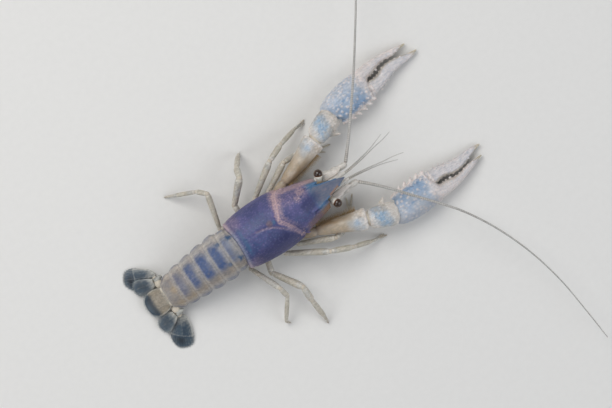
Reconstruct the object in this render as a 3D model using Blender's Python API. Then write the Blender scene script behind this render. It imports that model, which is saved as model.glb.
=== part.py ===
"""Red swamp crayfish at life size, standing on its legs with both claws laid forward.

Every size below is in millimetres and measured from the rostrum's tip: x runs forward, y to the
animal's left and z up from the floor. Each node is turned into metres when it is made, and a
parent empty moves them all so that the model's origin lies on the floor under its middle.
"""

import math

import bmesh
import bpy
from mathutils import Matrix, Vector

MM = 0.001
GAP = 0.3               # clear space between shell pieces that meet
ORIGIN_X = -17.42       # the model's origin, from the rostrum's tip
UP = Vector((0, 0, 1))
SIDES = {"left": 1, "right": -1}

# The back's midline wanders a little to the left behind the head: x, y
SPINE = ((-98, 0.1), (-80, 0.3), (-68, 0.7), (-55, 1.0), (-30, 0.5), (-10, 0.0), (2, 0.0))

# Head and thorax shell: x, half width, height of the back, height of the lower edge
CARAPACE = (
    (-52, 10.0, 24.2, 10.9), (-48, 11.2, 25.4, 9.2), (-42, 11.95, 26.5, 7.8),
    (-35, 12.2, 26.9, 7.4), (-28, 11.5, 26.7, 8.1), (-22, 9.7, 26.0, 9.2),
    (-17, 8.5, 25.0, 10.8), (-13, 7.5, 23.9, 12.4), (-10, 6.5, 22.9, 13.8),
)
TUCK = math.radians(115)            # how far round from the ridge of the back the shell reaches
SHELL_REAR, SHELL_REAR_SWEEP = -50.2, 1.3
GROOVE_BACK, GROOVE_SWEEP = -32.2, 5.3   # neck groove at the midline, and its run forward per radian
FACE_X, FACE_LEAN = -10.5, 0.14     # front plane of the head, leaning back downwards
BELLY_ARCH = 2.4

# Rostrum: x, half width, top, thickness
ROSTRUM = (
    (-19, 4.9, 25.0, 1.6), (-14, 4.8, 24.3, 1.7), (-10, 3.6, 23.3, 1.6), (-6, 2.4, 22.3, 1.3),
    (-3, 1.3, 21.6, 1.1), (-0.8, 0.5, 21.0, 0.8), (0, 0.2, 20.8, 0.5),
)

# Underside of the thorax and of the head: x, half width at the top, at the bottom, lowest height
THORAX_UNDERSIDE = (
    (-49.5, 5.4, 3.6, 5.4), (-44, 6.2, 4.2, 4.2), (-34, 6.4, 4.4, 3.9), (-24.6, 6.2, 4.4, 4.5),
)
HEAD_UNDERSIDE = (
    (-24.3, 5.6, 4.6, 6.5), (-20, 5.3, 4.2, 6.8), (-15, 4.6, 3.2, 8.3), (-12.3, 3.8, 2.6, 9.7),
)
COXA_X = {"claw": -26.8, 1: -32.3, 2: -37.9, 3: -43.3, 4: -47.9}
COXA_END, COXA_Z, COXA_R = 7.3, 5.2, 1.7
CLAW_COXA_Z, CLAW_COXA_R = 5.9, 2.05

# Abdomen: edges between its plates, then x, half width, height of the back, lower edge
PLATE_EDGES = (-50.5, -56.0, -62.3, -68.7, -74.6, -80.0, -86.3)
ABDOMEN = (
    (-86.3, 4.9, 8.9, 2.9), (-84.5, 5.8, 9.8, 3.1), (-82.5, 6.9, 10.8, 3.4), (-80, 7.4, 12.3, 3.9),
    (-74.6, 7.9, 15.2, 5.2), (-68.7, 8.4, 18.0, 6.8), (-62.3, 8.8, 20.6, 8.7), (-56, 9.0, 22.9, 10.4),
    (-50, 8.9, 24.3, 11.6),
)
LOBE_OUT = (0.3, 1.2, 1.1, 1.0, 0.9, 0.7)       # how far each plate's side lobes stand out
LOBE_DOWN = (0.6, 2.0, 1.9, 1.7, 1.5, 0.9)
PLATE_STEP = 0.955                              # a plate's front edge against its rear edge
PLATE_ARCH = 2.6

# Telson: share of its length, half width, thickness
TELSON = (
    (0, 4.6, 2.4), (0.12, 5.05, 2.2), (0.45, 5.15, 1.6), (0.62, 5.0, 1.4), (0.66, 4.7, 1.2),
    (0.82, 4.4, 1.1), (0.94, 3.3, 1.0), (1.0, 1.6, 0.9),
)
# Tail fan blades: share of length, inner width, outer width, thickness
INNER_BLADE = (
    (0, 1.4, 1.5, 1.0), (0.12, 2.1, 2.2, 1.0), (0.3, 2.9, 2.9, 0.9), (0.5, 3.3, 3.4, 0.9),
    (0.7, 3.2, 3.6, 0.8), (0.85, 2.6, 3.2, 0.8), (0.95, 1.6, 2.2, 0.7), (1.0, 0.8, 1.2, 0.6),
)
OUTER_BLADE = (
    (0, 1.3, 1.4, 1.1), (0.11, 2.2, 2.9, 1.0), (0.38, 4.0, 4.1, 0.9), (0.6, 4.9, 4.5, 0.8),
    (0.66, 4.8, 4.5, 0.8), (0.68, 4.7, 4.4, 0.6), (0.8, 4.1, 4.2, 0.6), (0.92, 2.7, 3.3, 0.55),
    (1.0, 1.0, 1.4, 0.5),
)
BLADE_SKEW = 0.07                               # the blades' cross lines lie further back at the outer edge
FAN_REACH = {                                   # each blade from its root to its tip
    ("left", "inner"): ((-87.6, 7.75, 4.1), (-95.8, 9.2, 1.7)),
    ("left", "outer"): ((-85.7, 9.4, 2.15), (-97.3, 14.9, 0.3)),
    ("right", "inner"): ((-87.6, 7.55, 4.1), (-95.4, 9.0, 1.7)),
    ("right", "outer"): ((-85.8, 9.0, 2.15), (-92.3, 20.6, 0.3)),
}

# Walking legs: where each joint lies, from the coxa outwards. Legs 1 and 2 end in two fingers.
LEGS = {
    ("left", 1): ((-28.5, 12.3, 5.6), (-17.0, 18.6, 8.8), (-11.3, 18.4, 4.9), (-4.6, 15.7, 2.3),
                  (2.8, 14.2, -0.25), (-0.4, 12.6, 0.5)),
    ("left", 2): ((-34.3, 13.3, 5.9), (-21.3, 22.1, 11.6), (-14.0, 25.2, 9.2), (-6.0, 27.3, 3.9),
                  (-0.4, 28.4, -0.25), (-0.9, 27.3, 0.3)),
    ("left", 3): ((-43.0, 15.3, 7.0), (-35.0, 23.2, 16.0), (-33.9, 27.2, 11.4), (-30.5, 31.3, 2.9),
                  (-29.9, 31.7, -0.3)),
    ("left", 4): ((-53.2, 10.6, 6.2), (-49.3, 25.2, 12.0), (-52.6, 28.4, 8.6), (-62.3, 32.8, 2.6),
                  (-64.8, 33.9, -0.25)),
    ("right", 1): ((-30.2, 11.9, 5.5), (-16.5, 18.2, 8.8), (-12.2, 17.8, 4.9), (-6.3, 13.4, 2.5),
                   (-1.0, 7.2, -0.25), (-3.9, 7.0, 0.4)),
    ("right", 2): ((-36.5, 12.3, 5.9), (-21.3, 21.5, 11.6), (-13.0, 25.1, 9.0), (-5.0, 27.6, 3.9),
                   (1.4, 29.0, -0.25), (0.7, 27.9, 0.3)),
    ("right", 3): ((-45.7, 15.6, 6.8), (-38.3, 27.2, 13.2), (-38.4, 33.6, 10.0), (-38.0, 42.4, 3.1),
                   (-38.2, 45.2, -0.3)),
    ("right", 4): ((-51.8, 9.6, 6.0), (-46.3, 22.4, 13.4), (-45.6, 26.8, 10.0), (-51.9, 35.1, 3.0),
                   (-50.9, 36.6, -0.3)),
}
LEG_GIRTH = {1: 0.94, 2: 0.98, 3: 1.08, 4: 0.86}
HIP_RUN = 0.9                                   # straight out of the coxa before the leg turns

# Arm of the claw beyond the hip: point, half width, half height, up to the wrist
ARM = (
    ((-24.0, 10.8, 6.4), 2.1, 2.0), ((-21.2, 11.7, 7.4), 2.0, 2.1), ((-18.0, 12.7, 8.8), 2.7, 2.9),
    ((-12.0, 14.9, 10.4), 3.3, 3.7), ((-6.0, 17.3, 11.2), 4.1, 4.0), ((-3.0, 18.5, 11.3), 4.6, 3.9),
    ((-1.6, 19.1, 11.2), 3.6, 3.2), ((-0.4, 19.6, 11.1), 3.9, 3.5), ((2.0, 20.7, 10.7), 4.5, 4.1),
    ((5.2, 21.9, 9.9), 4.6, 4.2),
)
ARM_JOINT = 8                                   # station of the joint between arm and wrist
WRIST = {"left": (9.0, 23.6, 0.0), "right": (9.0, 23.2, 0.0)}
CLAW_YAW = {"left": 7.2, "right": -2.8}         # degrees outwards
FINGER_YAW = {"left": -1.2, "right": 1.0}
FINGER_HINGE = (20.5, -3.0, 0.0)

# Claw in its own frame, u along it from the wrist and v outwards:
# u, slant of the section, inner edge, outer edge, bottom, top
PALM = (
    (0.0, -0.59, -3.3, 3.6, 4.5, 9.6), (1.2, -0.5, -5.0, 4.9, 2.8, 10.3),
    (3.4, -0.3, -6.0, 6.3, 1.0, 10.8), (7.0, -0.1, -6.3, 7.2, -0.15, 10.9),
    (11.5, 0, -6.5, 7.5, -0.3, 10.4), (16.0, 0, -6.4, 7.35, -0.25, 9.5),
    (18.2, 0, -6.1, 7.25, -0.1, 8.9), (19.6, 0, -2.4, 7.15, 0.1, 8.4), (21.0, 0, 1.2, 7.0, 0.3, 7.8),
    (24.0, 0, 1.9, 6.9, 0.5, 7.0), (28.0, 0, 2.8, 6.45, 0.6, 6.1), (31.0, 0, 2.8, 5.8, 0.7, 5.4),
    (35.0, 0, 1.95, 4.7, 0.8, 4.5), (39.0, 0, 2.0, 3.5, 0.9, 3.2), (41.3, 0, 2.15, 2.6, 1.2, 1.9),
)
FINGER = (
    (20.9, 0.384, -5.7, 0.6, 1.2, 7.4), (22.9, 0.25, -5.2, 0.1, 0.9, 7.1),
    (25.2, 0.1, -4.8, 0.15, 0.7, 6.6), (28.3, 0, -3.85, 1.25, 0.7, 6.0),
    (31.0, 0, -3.25, 1.5, 0.7, 5.4), (35.0, 0, -3.15, 0.8, 0.7, 4.5), (39.0, 0, -3.2, -0.5, 0.8, 3.4),
    (42.0, 0, -2.95, -1.5, 1.0, 2.4), (43.4, 0, -2.35, -1.95, 1.2, 1.8),
)
PALM_TEETH = ((22.9, 0.45, 0.55), (24.3, 0.5, 0.6), (26.2, 1.0, 0.8), (30.4, 0.4, 0.5), (32.8, 0.4, 0.5))
FINGER_TEETH = ((23.4, 0.4), (25.0, 0.3), (28.4, 0.3), (34.8, 0.3))     # u, reach

# Feelers: the base's stations, then the whip's run to its tip on each side
FEELER_BASE = (
    ((-10.6, 4.3, 14.1), 1.8, 1.6), ((-8.0, 4.6, 13.9), 2.1, 1.8), ((-5.2, 4.6, 14.1), 1.9, 1.6),
    ((-3.6, 4.5, 14.4), 1.4, 1.3), ((-2.0, 4.35, 14.6), 1.7, 1.5), ((-0.2, 4.2, 14.9), 1.2, 1.1),
    ((1.0, 4.15, 15.0), 1.3, 1.2), ((2.6, 4.2, 15.1), 1.25, 1.15), ((3.6, 4.6, 15.2), 0.8, 0.8),
)
WHIP = {
    "left": ((7.0, 8.5, 15.5), (12.3, 14.8, 15.9), (19.5, 23.9, 15.9), (27.0, 33.5, 15.8),
             (35.4, 45.0, 15.4), (43.4, 56.3, 14.6), (50.0, 67.0, 13.6), (55.2, 78.0, 12.4),
             (59.0, 89.6, 11.2), (61.4, 101.0, 10.0), (62.6, 112.6, 8.8)),
    "right": ((6.6, 7.5, 15.5), (12.3, 13.7, 15.9), (19.0, 21.8, 15.9), (25.6, 29.8, 15.8),
              (31.7, 37.8, 15.6), (37.8, 48.4, 15.1), (42.6, 59.4, 14.2), (46.2, 70.6, 13.2),
              (49.0, 83.8, 11.8), (50.6, 98.4, 10.2), (51.8, 112.6, 8.8)),
}
WHIP_ROOT, WHIP_TIP = 0.7, 0.2                  # half thickness
WHIP_CUTS = (3, 7)                              # stations where the whip is parted in three lengths

SMALL_WHIPS = (
    ((0.6, 1.05, 18.3), (4, 1.35, 18.5), (10, 2.2, 19.0), (16, 3.3, 19.6), (21, 4.0, 20.0), (25, 5.0, 20.3)),
    ((0.6, 1.6, 18.0), (4, 1.95, 18.0), (10, 2.85, 18.1), (15, 3.9, 18.3), (21.6, 6.1, 18.6)),
)

EYE = (-8.1, 7.0, 19.5)
EYE_R, EYE_SEAT = 1.8, 0.7                      # radius, and the flat on the stalk's side per radius

COLOURS = {                                     # base colour, roughness
    "carapace": ((0.33, 0.33, 0.62), 0.38), "underside": ((0.72, 0.68, 0.62), 0.5),
    "abdomen": ((0.62, 0.62, 0.66), 0.4), "tail_fan": ((0.38, 0.46, 0.60), 0.35),
    "claw": ((0.60, 0.69, 0.82), 0.4), "arm": ((0.72, 0.71, 0.70), 0.45),
    "leg": ((0.80, 0.77, 0.68), 0.42), "feeler": ((0.62, 0.62, 0.62), 0.45),
    "eye": ((0.03, 0.02, 0.015), 0.12), "eyestalk": ((0.66, 0.58, 0.50), 0.45),
}


def along(stations, x):
    """The values at x on the smooth curve through stations of (x, value, ...)."""
    xs = [station[0] for station in stations]
    x = min(max(x, xs[0]), xs[-1])
    near = max(k for k in range(len(xs) - 1) if xs[k] <= x)
    far = near + 1
    span = xs[far] - xs[near]
    t = (x - xs[near]) / span

    def slope(k, column):
        before, after = max(k - 1, 0), min(k + 1, len(xs) - 1)
        return span * (stations[after][column] - stations[before][column]) / (xs[after] - xs[before])

    return [
        stations[near][c] * (2 * t**3 - 3 * t**2 + 1) + slope(near, c) * (t**3 - 2 * t**2 + t)
        + stations[far][c] * (3 * t**2 - 2 * t**3) + slope(far, c) * (t**3 - t**2)
        for c in range(1, len(stations[0]))
    ]


def spine(x):
    return along(SPINE, x)[0]


def squared(value, power):
    """A sine or cosine made fuller, so that an oval nears a rounded box."""
    return math.copysign(abs(value) ** power, value)


def ring_body(rings):
    """A closed bmesh skinned over rings that have the same number of points."""
    bm = bmesh.new()
    loops = [[bm.verts.new(point) for point in ring] for ring in rings]
    count = len(loops[0])
    for near, far in zip(loops, loops[1:]):
        for k in range(count):
            bm.faces.new((near[k], near[(k + 1) % count], far[(k + 1) % count], far[k]))
    caps = [bm.faces.new(list(reversed(loops[0]))), bm.faces.new(loops[-1])]
    bmesh.ops.poke(bm, faces=caps)
    bmesh.ops.recalc_face_normals(bm, faces=bm.faces)
    return bm


def frames_along(points):
    """For each point of a run: its direction, and a side and an up that turn with it without twist."""
    frames, side = [], None
    for k, point in enumerate(points):
        run = (points[min(k + 1, len(points) - 1)] - points[max(k - 1, 0)]).normalized()
        side = UP.cross(run) if side is None else side - side.dot(run) * run
        side.normalize()
        frames.append((run, side, run.cross(side)))
    return frames


def limb_rings(stations, sides):
    """Oval rings square to a limb's run, from stations of (point, half width, half height)."""
    points = [Vector(station[0]) for station in stations]
    frames = frames_along(points)
    rings = []
    for point, (run, side, up), (_, wide, high) in zip(points, frames, stations):
        turns = (math.tau * k / sides for k in range(sides))
        rings.append([point + side * wide * math.cos(a) + up * high * math.sin(a) for a in turns])
    return rings, [frame[0] for frame in frames]


def limb_lengths(stations, cuts, sides):
    """A limb parted at the stations in cuts, with half the gap taken off each face."""
    rings, runs = limb_rings(stations, sides)
    bounds = [0, *cuts, len(rings) - 1]
    lengths = []
    for first, last in zip(bounds, bounds[1:]):
        part = [list(ring) for ring in rings[first:last + 1]]
        if first:
            part[0] = [point + runs[first] * GAP / 2 for point in part[0]]
        if last < len(rings) - 1:
            part[-1] = [point - runs[last] * GAP / 2 for point in part[-1]]
        lengths.append(ring_body(part))
    return lengths


def spike(root, tip, radius, blunt=0.25, sunk=0.35, sides=6):
    """A tapered spine or tubercle, its root sunk by a share of its length."""
    root, tip = Vector(root), Vector(tip)
    reach = tip - root
    bm = bmesh.new()
    bmesh.ops.create_cone(
        bm, cap_ends=True, segments=sides, radius1=radius * (1 + sunk * 0.6), radius2=radius * blunt,
        depth=reach.length * (1 + sunk),
    )
    turn = reach.to_track_quat("Z", "Y").to_matrix().to_4x4()
    middle = root + reach * (1 - sunk) / 2
    bmesh.ops.transform(bm, matrix=Matrix.Translation(middle) @ turn, verts=bm.verts)
    return bm


def ball(centre, size, segments=12, rows=8):
    bm = bmesh.new()
    bmesh.ops.create_uvsphere(bm, u_segments=segments, v_segments=rows, radius=1)
    bmesh.ops.scale(bm, vec=size, verts=bm.verts)
    bmesh.ops.translate(bm, vec=centre, verts=bm.verts)
    return bm


def mirrored(bm):
    """The same body on the animal's right."""
    bmesh.ops.scale(bm, vec=(1, -1, 1), verts=bm.verts)
    bmesh.ops.reverse_faces(bm, faces=bm.faces)
    return bm


def on_side(side, bm):
    return bm if side == "left" else mirrored(bm)


def stands_on_floor(bm):
    """Cuts off what would reach under the floor and closes the cut with a flat."""
    geometry = bm.verts[:] + bm.edges[:] + bm.faces[:]
    bmesh.ops.bisect_plane(bm, geom=geometry, plane_co=(0, 0, 0), plane_no=UP, clear_inner=True)
    bmesh.ops.holes_fill(bm, edges=[edge for edge in bm.edges if edge.is_boundary])


def largest_surface(bm):
    """Deletes all but the closed surface that encloses most."""
    left, surfaces = set(bm.faces), []
    while left:
        found, edge_of = set(), [left.pop()]
        while edge_of:
            face = edge_of.pop()
            found.add(face)
            for edge in face.edges:
                for other in edge.link_faces:
                    if other in left:
                        left.discard(other)
                        edge_of.append(other)
        surfaces.append(found)

    def spread(faces):
        points = [vert.co for face in faces for vert in face.verts]
        return math.prod(max(p[i] for p in points) - min(p[i] for p in points) for i in range(3))

    keep = max(surfaces, key=spread)
    loose = [face for surface in surfaces if surface is not keep for face in surface]
    bmesh.ops.delete(bm, geom=loose, context="FACES")


def object_of(name, bm):
    mesh = bpy.data.meshes.new(name)
    bm.to_mesh(mesh)
    bm.free()
    obj = bpy.data.objects.new(name, mesh)
    bpy.context.scene.collection.objects.link(obj)
    return obj


def fused(bm, pieces):
    """One closed surface of a body and the pieces sunk into it."""
    if not pieces:
        return bm
    body = object_of("body", bm)
    group = bpy.data.collections.new("pieces")
    bpy.context.scene.collection.children.link(group)
    for piece in pieces:
        part = object_of("piece", piece)
        bpy.context.scene.collection.objects.unlink(part)
        group.objects.link(part)
    union = body.modifiers.new("union", "BOOLEAN")
    union.operation, union.operand_type, union.solver = "UNION", "COLLECTION", "EXACT"
    union.collection = group
    bpy.context.view_layer.update()
    joined = bmesh.new()
    joined.from_object(body, bpy.context.evaluated_depsgraph_get())
    for obj in [body, *group.objects]:
        bpy.data.objects.remove(obj)
    bpy.data.collections.remove(group)
    largest_surface(joined)
    return joined


def material_for(name):
    if name in bpy.data.materials:
        return bpy.data.materials[name]
    colour, roughness = COLOURS[name]
    material = bpy.data.materials.new(name)
    material.use_nodes = True
    shader = material.node_tree.nodes["Principled BSDF"]
    shader.inputs["Base Color"].default_value = (*colour, 1)
    shader.inputs["Roughness"].default_value = roughness
    shader.inputs["Metallic"].default_value = 0
    return material


def node(name, bm, finish):
    """Makes a body a node of its own, in metres and with its own material."""
    if min(vert.co.z for vert in bm.verts) < 0:
        stands_on_floor(bm)
    bmesh.ops.scale(bm, vec=(MM, MM, MM), verts=bm.verts)
    obj = object_of(name, bm)
    obj.parent = bpy.data.objects["crayfish"]
    obj.data.shade_smooth()
    obj.data.set_sharp_from_angle(angle=math.radians(38))
    obj.data.materials.append(material_for(finish))


# Head and thorax

def shell_point(profile, x, turn):
    """On the shell's surface at x, turned from the ridge of the back towards the left."""
    half, top, low = along(profile, x)
    share = (math.cos(turn) - math.cos(TUCK)) / (1 - math.cos(TUCK))
    return Vector((x, spine(x) + half * math.sin(turn), low + (top - low) * share))


def shell_ring(point_at, arch, sides=22, belly=5):
    """A ring over the back from the right edge to the left, and back under the arched belly."""
    turns = (-TUCK + 2 * TUCK * k / sides for k in range(sides + 1))
    ring = [point_at(turn) for turn in turns]
    right, left = ring[0], ring[-1]
    for k in range(1, belly + 1):
        share = k / (belly + 1)
        point = left.lerp(right, share)
        point.z += arch * math.sin(math.pi * share) ** 0.8
        ring.append(point)
    return ring


def groove_x(turn):
    return GROOVE_BACK + GROOVE_SWEEP * abs(turn)


def shell_between(rear_x, front_x, rows):
    rings = []
    for k in range(rows + 1):
        share = k / rows
        rings.append(shell_ring(
            lambda turn: shell_point(CARAPACE, rear_x(turn) * (1 - share) + front_x(turn) * share, turn),
            BELLY_ARCH,
        ))
    return rings


def thorax_shield():
    def rear(turn):
        return SHELL_REAR - SHELL_REAR_SWEEP * math.sin(turn) ** 2

    return ring_body(shell_between(rear, lambda turn: groove_x(turn) - GAP / 2, 9))


def rostrum():
    rings = []
    for x, half, top, thick in ROSTRUM:
        ring = []
        for k in range(12):
            across, level = math.cos(math.tau * k / 12), math.sin(math.tau * k / 12)
            rim = 0.28 * thick * across**4
            ring.append(Vector((x, across * half, top - thick / 2 + level * thick / 2 + rim)))
        rings.append(ring)
    return ring_body(rings)


def head_shield():
    def front(turn):
        level = 23.0 - 4.6 * (1 - math.cos(turn))
        return FACE_X - FACE_LEAN * (23.0 - level)

    body = ring_body(shell_between(lambda turn: groove_x(turn) + GAP / 2, front, 8))
    pieces = [rostrum()]
    for sign in SIDES.values():
        pieces.append(spike((-15.5, 5.4 * sign, 22.9), (-10.3, 4.6 * sign, 23.1), 0.75, sunk=0.2))
        pieces.append(spike((-24.6, 10.0 * sign, 18.4), (-23.0, 10.7 * sign, 18.5), 0.5))
        pieces.append(spike((-5.0, 1.7 * sign, 21.7), (-2.6, 1.75 * sign, 21.6), 0.35, sunk=0.5))
    return fused(body, pieces)


def block_rings(profile, roof, sides=10):
    """Rings of a keel-shaped block hung under the shell: flat above, rounded below."""
    rings = []
    for x, wide, narrow, low in profile:
        top, middle = roof(x), spine(x)
        ring = []
        for k in range(sides + 1):
            turn = math.pi * k / sides
            half = narrow + (wide - narrow) * math.cos(turn) ** 2
            hang = (top - low) * math.sin(turn) ** 0.6
            ring.append(Vector((x, middle + half * math.cos(turn), top - hang)))
        rings.append(ring)
    return rings


def shell_floor(x):
    return along(CARAPACE, x)[2] - GAP


def thorax_underside():
    body = ring_body(block_rings(THORAX_UNDERSIDE, shell_floor))
    pieces = []
    for limb, x in COXA_X.items():
        height, radius = (CLAW_COXA_Z, CLAW_COXA_R) if limb == "claw" else (COXA_Z, COXA_R)
        for sign in SIDES.values():
            root = Vector((x, spine(x) + 3.0 * sign, height))
            end = Vector((x, spine(x) + COXA_END * sign, height))
            rings, _ = limb_rings((
                (root, radius * 0.9, radius * 0.9), (root.lerp(end, 0.6), radius * 1.08, radius),
                (end, radius, radius * 0.9),
            ), 8)
            pieces.append(ring_body(rings))
    return fused(body, pieces)


def head_underside():
    body = ring_body(block_rings(HEAD_UNDERSIDE, shell_floor))
    jaws = [ball((-14.4, 1.25 * sign, 8.9), (2.0, 1.35, 1.5), 10, 6) for sign in SIDES.values()]
    return fused(body, jaws)


def mouth_leg():
    """Third maxilliped, laid forward under the mouth with its end turned down and back."""
    rings, _ = limb_rings((
        ((-24.2, 3.6, 4.9), 1.1, 1.1), ((-21.0, 3.4, 4.7), 1.35, 1.3), ((-16.4, 2.9, 5.0), 1.3, 1.2),
        ((-15.6, 2.85, 5.2), 1.0, 1.0), ((-14.8, 2.8, 5.5), 1.2, 1.1), ((-11.9, 2.7, 6.9), 1.05, 1.0),
        ((-10.6, 2.65, 6.6), 0.8, 0.8), ((-9.8, 2.5, 5.0), 0.85, 0.8), ((-10.3, 2.3, 3.3), 0.6, 0.6),
        ((-11.4, 2.2, 1.9), 0.6, 0.6), ((-13.0, 2.1, 1.3), 0.25, 0.25),
    ), 8)
    return ring_body(rings)


# Abdomen and tail fan

def abdomen_plate(index):
    """One ring of the abdomen: it steps up behind its front edge and its sides hang in lobes."""
    front, rear = PLATE_EDGES[index], PLATE_EDGES[index + 1]
    rings = []
    for share in (0.0, 0.1, 0.3, 0.5, 0.7, 0.9, 1.0):
        lobe = math.sin(math.pi * min(0.06 + 0.94 * share, 1)) ** 0.6 if share < 1 else 0.18
        swell = PLATE_STEP + (1 - PLATE_STEP) * min(share / 0.3, 1)

        def point_at(turn):
            x = front - GAP / 2 + share * (rear - front + GAP)
            if index == 0:
                x -= SHELL_REAR_SWEEP * math.sin(turn) ** 2 * (1 - share)
            half, top, low = along(ABDOMEN, x)
            low -= LOBE_DOWN[index] * lobe
            half = half * swell + LOBE_OUT[index] * lobe * math.sin(turn) ** 2
            rise = swell * (top - low) * (math.cos(turn) - math.cos(TUCK)) / (1 - math.cos(TUCK))
            return Vector((x, spine(x) + half * math.sin(turn), low + rise))

        rings.append(shell_ring(point_at, PLATE_ARCH, 18, 5))
    body = ring_body(rings)
    if index in (0, 5):
        return body
    middle = (front + rear) / 2
    half, _, low = along(ABDOMEN, middle)
    swimmerets = []
    for sign in SIDES.values():
        hip = Vector((middle, spine(middle) + 0.52 * half * sign, low + 0.9))
        rings, _ = limb_rings((
            (hip + Vector((0.6, 0, 1.6)), 0.7, 0.9), (hip + Vector((0, 0, -0.6)), 0.6, 0.9),
            (hip + Vector((-0.9, -0.5 * sign, -1.9)), 0.45, 1.0),
            (hip + Vector((-2.0, -1.0 * sign, -2.8)), 0.3, 0.4),
        ), 8)
        swimmerets.append(ring_body(rings))
    return fused(body, swimmerets)


def fan_plate(root, tip, lift, outline, ridge, skew=0.0, sides=14):
    """A blade of the tail fan, its outline in shares of the run from root to tip."""
    root, tip = Vector(root), Vector(tip)
    run = (tip - root).normalized()
    across = UP.cross(run).normalized()
    if across.y < 0:
        across.negate()
    across = (across + UP * lift).normalized()
    up = run.cross(across)
    if up.z < 0:
        up.negate()
    rings = []
    for share, inner, outer, thick in outline:
        ring = []
        for k in range(sides):
            turn = math.tau * k / sides
            reach = math.cos(turn)
            width = outer if reach > 0 else inner
            level = squared(math.sin(turn), 0.7) * thick / 2
            if abs(reach) < 0.01 and level > 0:
                level += ridge
            back = share + skew * reach * math.sin(math.pi * share)
            ring.append(root.lerp(tip, back) + across * width * reach + up * level)
        rings.append(ring)
    return ring_body(rings)


def telson():
    rings = []
    for share, half, thick in TELSON:
        x, z = -86.6 - 9.0 * share, 6.6 - 4.1 * share**0.92
        ring = []
        for k in range(16):
            turn = math.tau * k / 16
            across = math.cos(turn)
            level = squared(math.sin(turn), 0.75) * thick / 2
            dome = 0.5 * (1 - share) * (1 - across**2)
            rib = 0.22 if level > 0 and 0.3 < abs(across) < 0.5 else 0
            ring.append(Vector((x, spine(x) + across * half, z + level + dome + rib)))
        rings.append(ring)
    body = ring_body(rings)
    spines = []
    for sign in SIDES.values():
        root = Vector((-91.6, spine(-91.6) + 4.7 * sign, 4.1))
        spines.append(spike(root, root + Vector((-1.6, 0.4 * sign, -0.6)), 0.4))
    return fused(body, spines)


def fan_base(side):
    """Protopod: the short joint at the abdomen's rear corner that carries both blades."""
    sign = SIDES[side]
    rings, _ = limb_rings((
        ((-83.3, 8.0 + 0.3 * sign, 4.3), 0.55, 0.8), ((-84.2, 8.05 + 0.3 * sign, 4.4), 0.9, 1.2),
        ((-85.4, 7.9 + 0.1 * sign, 4.3), 1.3, 1.3), ((-86.7, 7.6 + 0.1 * sign, 4.2), 1.5, 1.1),
    ), 8)
    return ring_body(rings)


# Claws, legs and feelers

def claw_place(side):
    """From the claw's own frame to the animal's left side."""
    return Matrix.Translation(WRIST[side]) @ Matrix.Rotation(math.radians(CLAW_YAW[side]), 4, "Z")


def finger_place(side):
    """The same for the movable finger, which also turns on its hinge."""
    hinge = Matrix.Translation(FINGER_HINGE)
    turn = Matrix.Rotation(math.radians(FINGER_YAW[side]), 4, "Z")
    return claw_place(side) @ hinge @ turn @ hinge.inverted()


def hip_stations(limb, side, height, radius):
    """A limb's first two stations: straight out of its coxa, clear of the coxa's face."""
    x = COXA_X[limb]
    face = Vector((x, COXA_END + GAP + spine(x) * SIDES[side], height))
    out = face + Vector((0, HIP_RUN * radius / 1.15, 0))
    return [(face, radius, radius * 0.92), (out, radius, radius * 0.92)]


def claw_ring(station, sides, shrink=1.0):
    u, slant, inner, outer, bottom, top = station
    centre, half = (inner + outer) / 2, shrink * (outer - inner) / 2
    level, high = (top + bottom) / 2, shrink * (top - bottom) / 2
    ring = []
    for k in range(sides):
        turn = math.tau * k / sides
        v = centre + half * squared(math.cos(turn), 0.85)
        ring.append(Vector((u + slant * v, v, level + high * squared(math.sin(turn), 0.85))))
    return ring


def arm_and_wrist(side):
    """The arm up to its joint, and the wrist from there to the palm's slanted face."""
    place = claw_place(side)
    stations = [*hip_stations("claw", side, CLAW_COXA_Z, CLAW_COXA_R * 0.95), *ARM]
    stations.append((place @ Vector((-0.9, 0.1, 7.4)), 3.3, 2.6))
    rings, runs = limb_rings(stations, 12)
    near_palm = [place @ (point - Vector((GAP, 0, 0))) for point in claw_ring(PALM[0], 12, 0.98)]
    rings[-1] = near_palm
    arm = [list(ring) for ring in rings[:ARM_JOINT + 1]]
    arm[-1] = [point - runs[ARM_JOINT] * GAP / 2 for point in arm[-1]]
    wrist = [list(ring) for ring in rings[ARM_JOINT:]]
    wrist[0] = [point + runs[ARM_JOINT] * GAP / 2 for point in wrist[0]]
    return ring_body(arm), ring_body(wrist)


def arm(side):
    body, _ = arm_and_wrist(side)
    spines = [
        spike((-3.4, 15.0, 10.6), (-1.7, 13.7, 10.8), 0.7),
        spike((-5.0, 16.6, 14.7), (-3.3, 16.6, 15.9), 0.6),
        spike((-8.6, 15.4, 13.9), (-7.2, 15.4, 14.9), 0.5),
    ]
    for k in range(4):
        root = Vector((-16 + 3.4 * k, 11.2 + 1.2 * k, 7.2 + 0.2 * k))
        spines.append(spike(root, root + Vector((1.0, -1.0 - 0.1 * k, -0.8)), 0.45))
    return fused(body, spines)


def wrist(side):
    _, body = arm_and_wrist(side)
    spines = [
        spike((6.0, 18.0, 10.2), (8.3, 15.3, 10.4), 1.1),
        spike((0.6, 17.0, 11.2), (0.7, 16.0, 11.6), 0.55),
        spike((2.6, 17.1, 11.2), (3.0, 16.1, 11.6), 0.55),
    ]
    for k in range(3):
        root = Vector((1.0 + 2.2 * k, 20.4 + 0.6 * k, 14.3 - 0.4 * k))
        spines.append(spike(root, root + Vector((0.2, -0.1, 1.0)), 0.6))
    return fused(body, spines)


def palm_surface(u, share):
    """On top of the palm, at share of its width from the inner edge."""
    _, inner, outer, bottom, top = along(PALM, u)
    v = inner + (outer - inner) * share
    reach = abs(2 * share - 1) ** (1 / 0.85)
    level = math.sqrt(max(1 - reach**2, 0)) ** 0.85
    return Vector((u, v, (top + bottom) / 2 + level * (top - bottom) / 2))


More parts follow.
